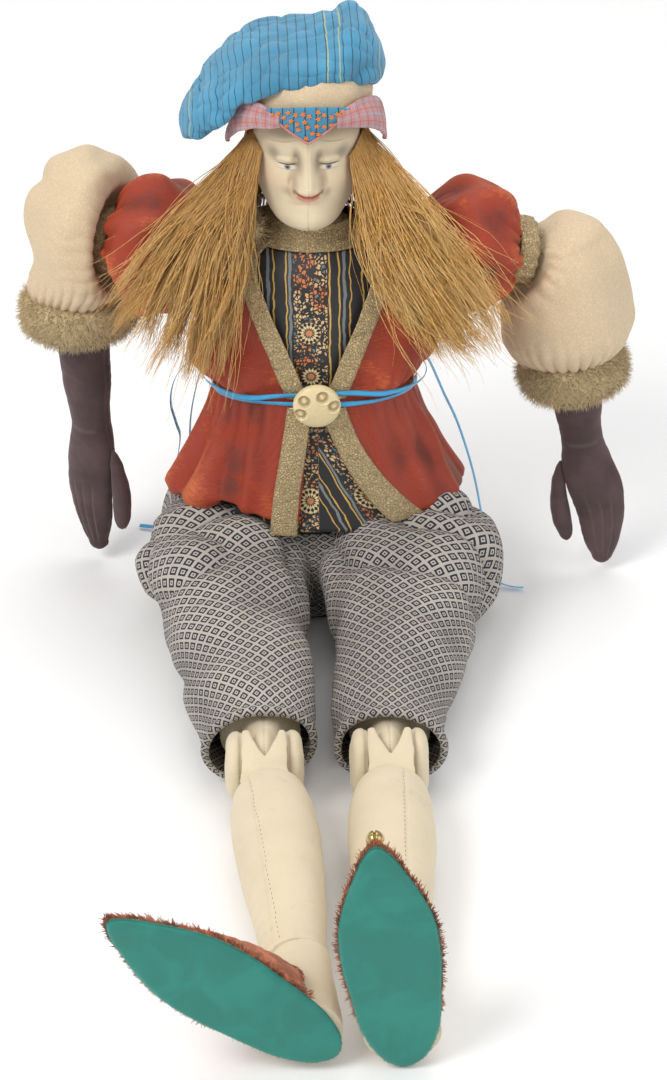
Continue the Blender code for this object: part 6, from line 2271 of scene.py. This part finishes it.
def make_bell(settings):
    """A small jingle bell with its slot, waist ring and thread."""
    toe = np.array(TOE["left"])
    centre = np.array(doll_place(JOINT_PLACE["bell_swivel"]))
    turns = np.linspace(0.02, math.pi - 0.02, 48)
    cols = 96
    around = np.arange(cols) / cols * 2 * np.pi
    radius = 4.45 * np.sin(turns)
    radius = radius + 0.35 * bump_at(np.degrees(turns), 90, 4)
    place = -4.45 * np.cos(turns)
    grid = rod_grid(centre, toe, np.stack([place, radius], axis=1), cols, near=(0, -1, 0))
    axis_away = (grid - (centre + toe * place[:, None])[:, None])
    slot = bump_at(np.sin(around)[None, :] * radius[:, None], 0, 0.45) * (place > 0.8)[:, None]
    grid = grid - axis_away * 0.0
    grid = push(grid, -1.2 * slot, True)
    shell = skin("brass_bell", grid, finish_for("brass"), cap_start=True, cap_end=True)
    rides_on(shell, "bell", "brass", "jingle_bell")
    loop = []
    side = np.cross(toe, (0.0, -1.0, 0.0))
    for turn in np.linspace(0, 2 * math.pi, 26):
        loop.append(tuple(centre - toe * (5.2 + 1.0 * math.cos(turn)) + side * 1.3 * math.sin(turn)))
    ring = threads("bell_loop", [loop], finish_for("brass"), 0.35, 1.0, 8)
    rides_on(ring, "bell", "brass")


# ---------------------------------------------------------------- what a user would change

def colour(label, description, default):
    return FloatVectorProperty(name=label, description=description, default=default, size=3,
                               min=0.0, max=1.0, subtype="COLOR")


class DollColours(bpy.types.PropertyGroup):
    """Dyes of the doll's cloths, and the painted highlight of the velvet."""
    velvet: colour("Velvet", "Jacket velvet where the pile lies flat", (0.33, 0.036, 0.012))
    velvet_light: colour("Velvet, lit", "Jacket velvet where the pile catches light", (0.66, 0.165, 0.052))
    braid: colour("Braid", "Raised parts of the metal braid", (0.66, 0.50, 0.27))
    silk: colour("Silk", "Ground of the striped silk", (0.012, 0.012, 0.013))
    cotton: colour("Sleeve cotton", "Printed cotton of the sleeves and hat band", (0.68, 0.53, 0.35))
    cloth: colour("Body cotton", "Ribbed cotton of the legs", (0.70, 0.60, 0.42))
    face: colour("Face cloth", "Painted cloth of the face", (0.74, 0.62, 0.43))
    suede: colour("Glove suede", "Arms and hands", (0.068, 0.040, 0.042))
    hat: colour("Hat cloth", "Ground of the striped hat cloth", (0.060, 0.265, 0.43))
    plaid: colour("Brim cloth", "Ground of the plaid brims", (0.50, 0.22, 0.20))
    weave_light: colour("Light thread", "Light thread of the trousers", (0.52, 0.48, 0.43))
    weave_dark: colour("Dark thread", "Dark thread of the trousers", (0.022, 0.023, 0.032))
    sole: colour("Sole velvet", "Velvet of the soles", (0.020, 0.205, 0.165))
    shoe: colour("Shoe velvet", "Velvet of the shoe uppers", (0.36, 0.115, 0.055))
    ribbon: colour("Ribbon", "Satin ribbon of the belt", (0.035, 0.33, 0.62))
    hair: colour("Mohair", "Long hair", (0.74, 0.43, 0.13))
    fur: colour("Fur", "Collar and cuffs", (0.50, 0.39, 0.22))
    button: colour("Button", "Carved button", (0.74, 0.62, 0.36))
    brass: colour("Bell", "Brass of the bell", (0.50, 0.38, 0.16))


class DollSettings(bpy.types.PropertyGroup):
    """Sizes and amounts of the doll's details."""
    ribbon_width: FloatProperty(name="Ribbon width", description="Width of the satin ribbon", default=3.2 * MM,
                                min=1 * MM, max=10 * MM, unit="LENGTH")
    hair_count: IntProperty(name="Hairs in a fall", description="Hairs in each long fall of mohair",
                            default=1300, min=100, max=2100)
    fur_density: FloatProperty(name="Fur density", description="Hairs for each square millimetre of a cuff",
                               default=0.75, min=0.05, max=1.2)


class StageSettings(bpy.types.PropertyGroup):
    """Camera and light."""
    camera_turn: FloatProperty(name="Turn", description="Camera's turn round the doll, degrees", default=-2.03)
    camera_rise: FloatProperty(name="Rise", description="Camera's height over the floor, degrees", default=33.2)
    camera_distance: FloatProperty(name="Distance", description="From the camera to the doll's middle",
                                   default=1.741, min=0.2, unit="LENGTH")
    camera_lens: FloatProperty(name="Lens", description="Focal length in millimetres", default=91.4, min=10)
    key_light: FloatProperty(name="Key light", description="Power of the main lamp", default=30.0, min=0,
                             unit="POWER")
    room_light: FloatProperty(name="Room light", description="Brightness of the plain white room",
                              default=0.62, min=0)


class MAKE_OT_stage(bpy.types.Operator):
    """Pale floor, soft lights and the camera"""
    bl_idname = "make.doll_stage"
    bl_label = "Stage"

    def execute(self, context):
        make_stage(context.scene.doll_stage)
        return {"FINISHED"}


def piece_operator(name, label, description, maker):
    """An operator that makes one piece, or one group of like pieces."""
    def execute(self, context):
        maker(context.scene.doll_settings)
        return {"FINISHED"}
    return type(f"MAKE_OT_{name}", (bpy.types.Operator,), {
        "__doc__": description, "bl_idname": f"make.doll_{name}", "bl_label": label, "execute": execute})


def both_sides(maker):
    def make(settings):
        for side, sign in SIDES.items():
            maker(settings, side, sign)
    return make


def make_legs(settings):
    for side, sign in SIDES.items():
        make_knee(side, sign)
        make_shin(side)


PIECES = [
    piece_operator("ribbons", "Ribbon tails", "The free ends of the ribbon belt", make_ribbons),
    piece_operator("trunk", "Stuffed body", "The stuffed trunk and upper arms under the clothes", make_trunk),
    piece_operator("tunic", "Silk tunic", "Striped silk front and its braid collar", make_tunic),
    piece_operator("bodice", "Jacket bodice", "Gathered velvet above the belt", make_bodice),
    piece_operator("peplum", "Jacket skirt", "Velvet skirt below the belt", make_peplum),
    piece_operator("braids", "Jacket braids", "Metal braid down the jacket's edges", make_braids),
    piece_operator("belt", "Ribbon belt", "Two ribbon strands and the carved button", make_belt),
    piece_operator("fur_collar", "Fur collar", "Rabbit fur behind the neck", make_fur_collar),
    piece_operator("head", "Head", "Painted, needle-shaped cloth head", make_head),
    piece_operator("hat", "Hat", "Striped crown, padded band, brims and badge", make_hat),
    piece_operator("hair", "Hair", "Long loose mohair", make_hair),
    piece_operator("arms", "Arms", "Puffed sleeves, fur cuffs and gloved hands", both_sides(make_arm)),
    piece_operator("trousers", "Trouser legs", "Diamond-weave trousers from waist to knee",
                   both_sides(make_trouser_half)),
    piece_operator("seat", "Trouser back", "Back of the trousers", make_seat),
    piece_operator("legs", "Legs", "Knees and lower legs", make_legs),
    piece_operator("shoes", "Shoes", "Feet and velvet shoes", both_sides(make_shoe)),
    piece_operator("bell", "Bell", "Jingle bell on the left shoe", make_bell),
]


class DOLL_PT_sidebar(bpy.types.Panel):
    """Pieces of the doll, in the order in which they are made"""
    bl_idname = "DOLL_PT_sidebar"
    bl_label = "Cloth doll"
    bl_space_type = "VIEW_3D"
    bl_region_type = "UI"
    bl_category = "Doll"

    def draw(self, context):
        layout = self.layout
        layout.operator(MAKE_OT_stage.bl_idname)
        for piece in PIECES:
            layout.operator(piece.bl_idname)
        for group_of in (context.scene.doll_settings, context.scene.doll_colours, context.scene.doll_stage):
            box = layout.box()
            for key in group_of.__annotations__:
                box.prop(group_of, key)


CLASSES = [DollColours, DollSettings, StageSettings, MAKE_OT_stage, *PIECES, DOLL_PT_sidebar]


def register():
    for entry in CLASSES:
        bpy.utils.register_class(entry)
    bpy.types.Scene.doll_colours = PointerProperty(type=DollColours)
    bpy.types.Scene.doll_settings = PointerProperty(type=DollSettings)
    bpy.types.Scene.doll_stage = PointerProperty(type=StageSettings)


def unregister():
    del bpy.types.Scene.doll_colours
    del bpy.types.Scene.doll_settings
    del bpy.types.Scene.doll_stage
    for entry in reversed(CLASSES):
        bpy.utils.unregister_class(entry)


def main():
    register()
    bpy.ops.make.doll_stage()
    for piece in PIECES:
        getattr(bpy.ops.make, piece.bl_idname.split(".")[1])()


if __name__ == "__main__":
    main()
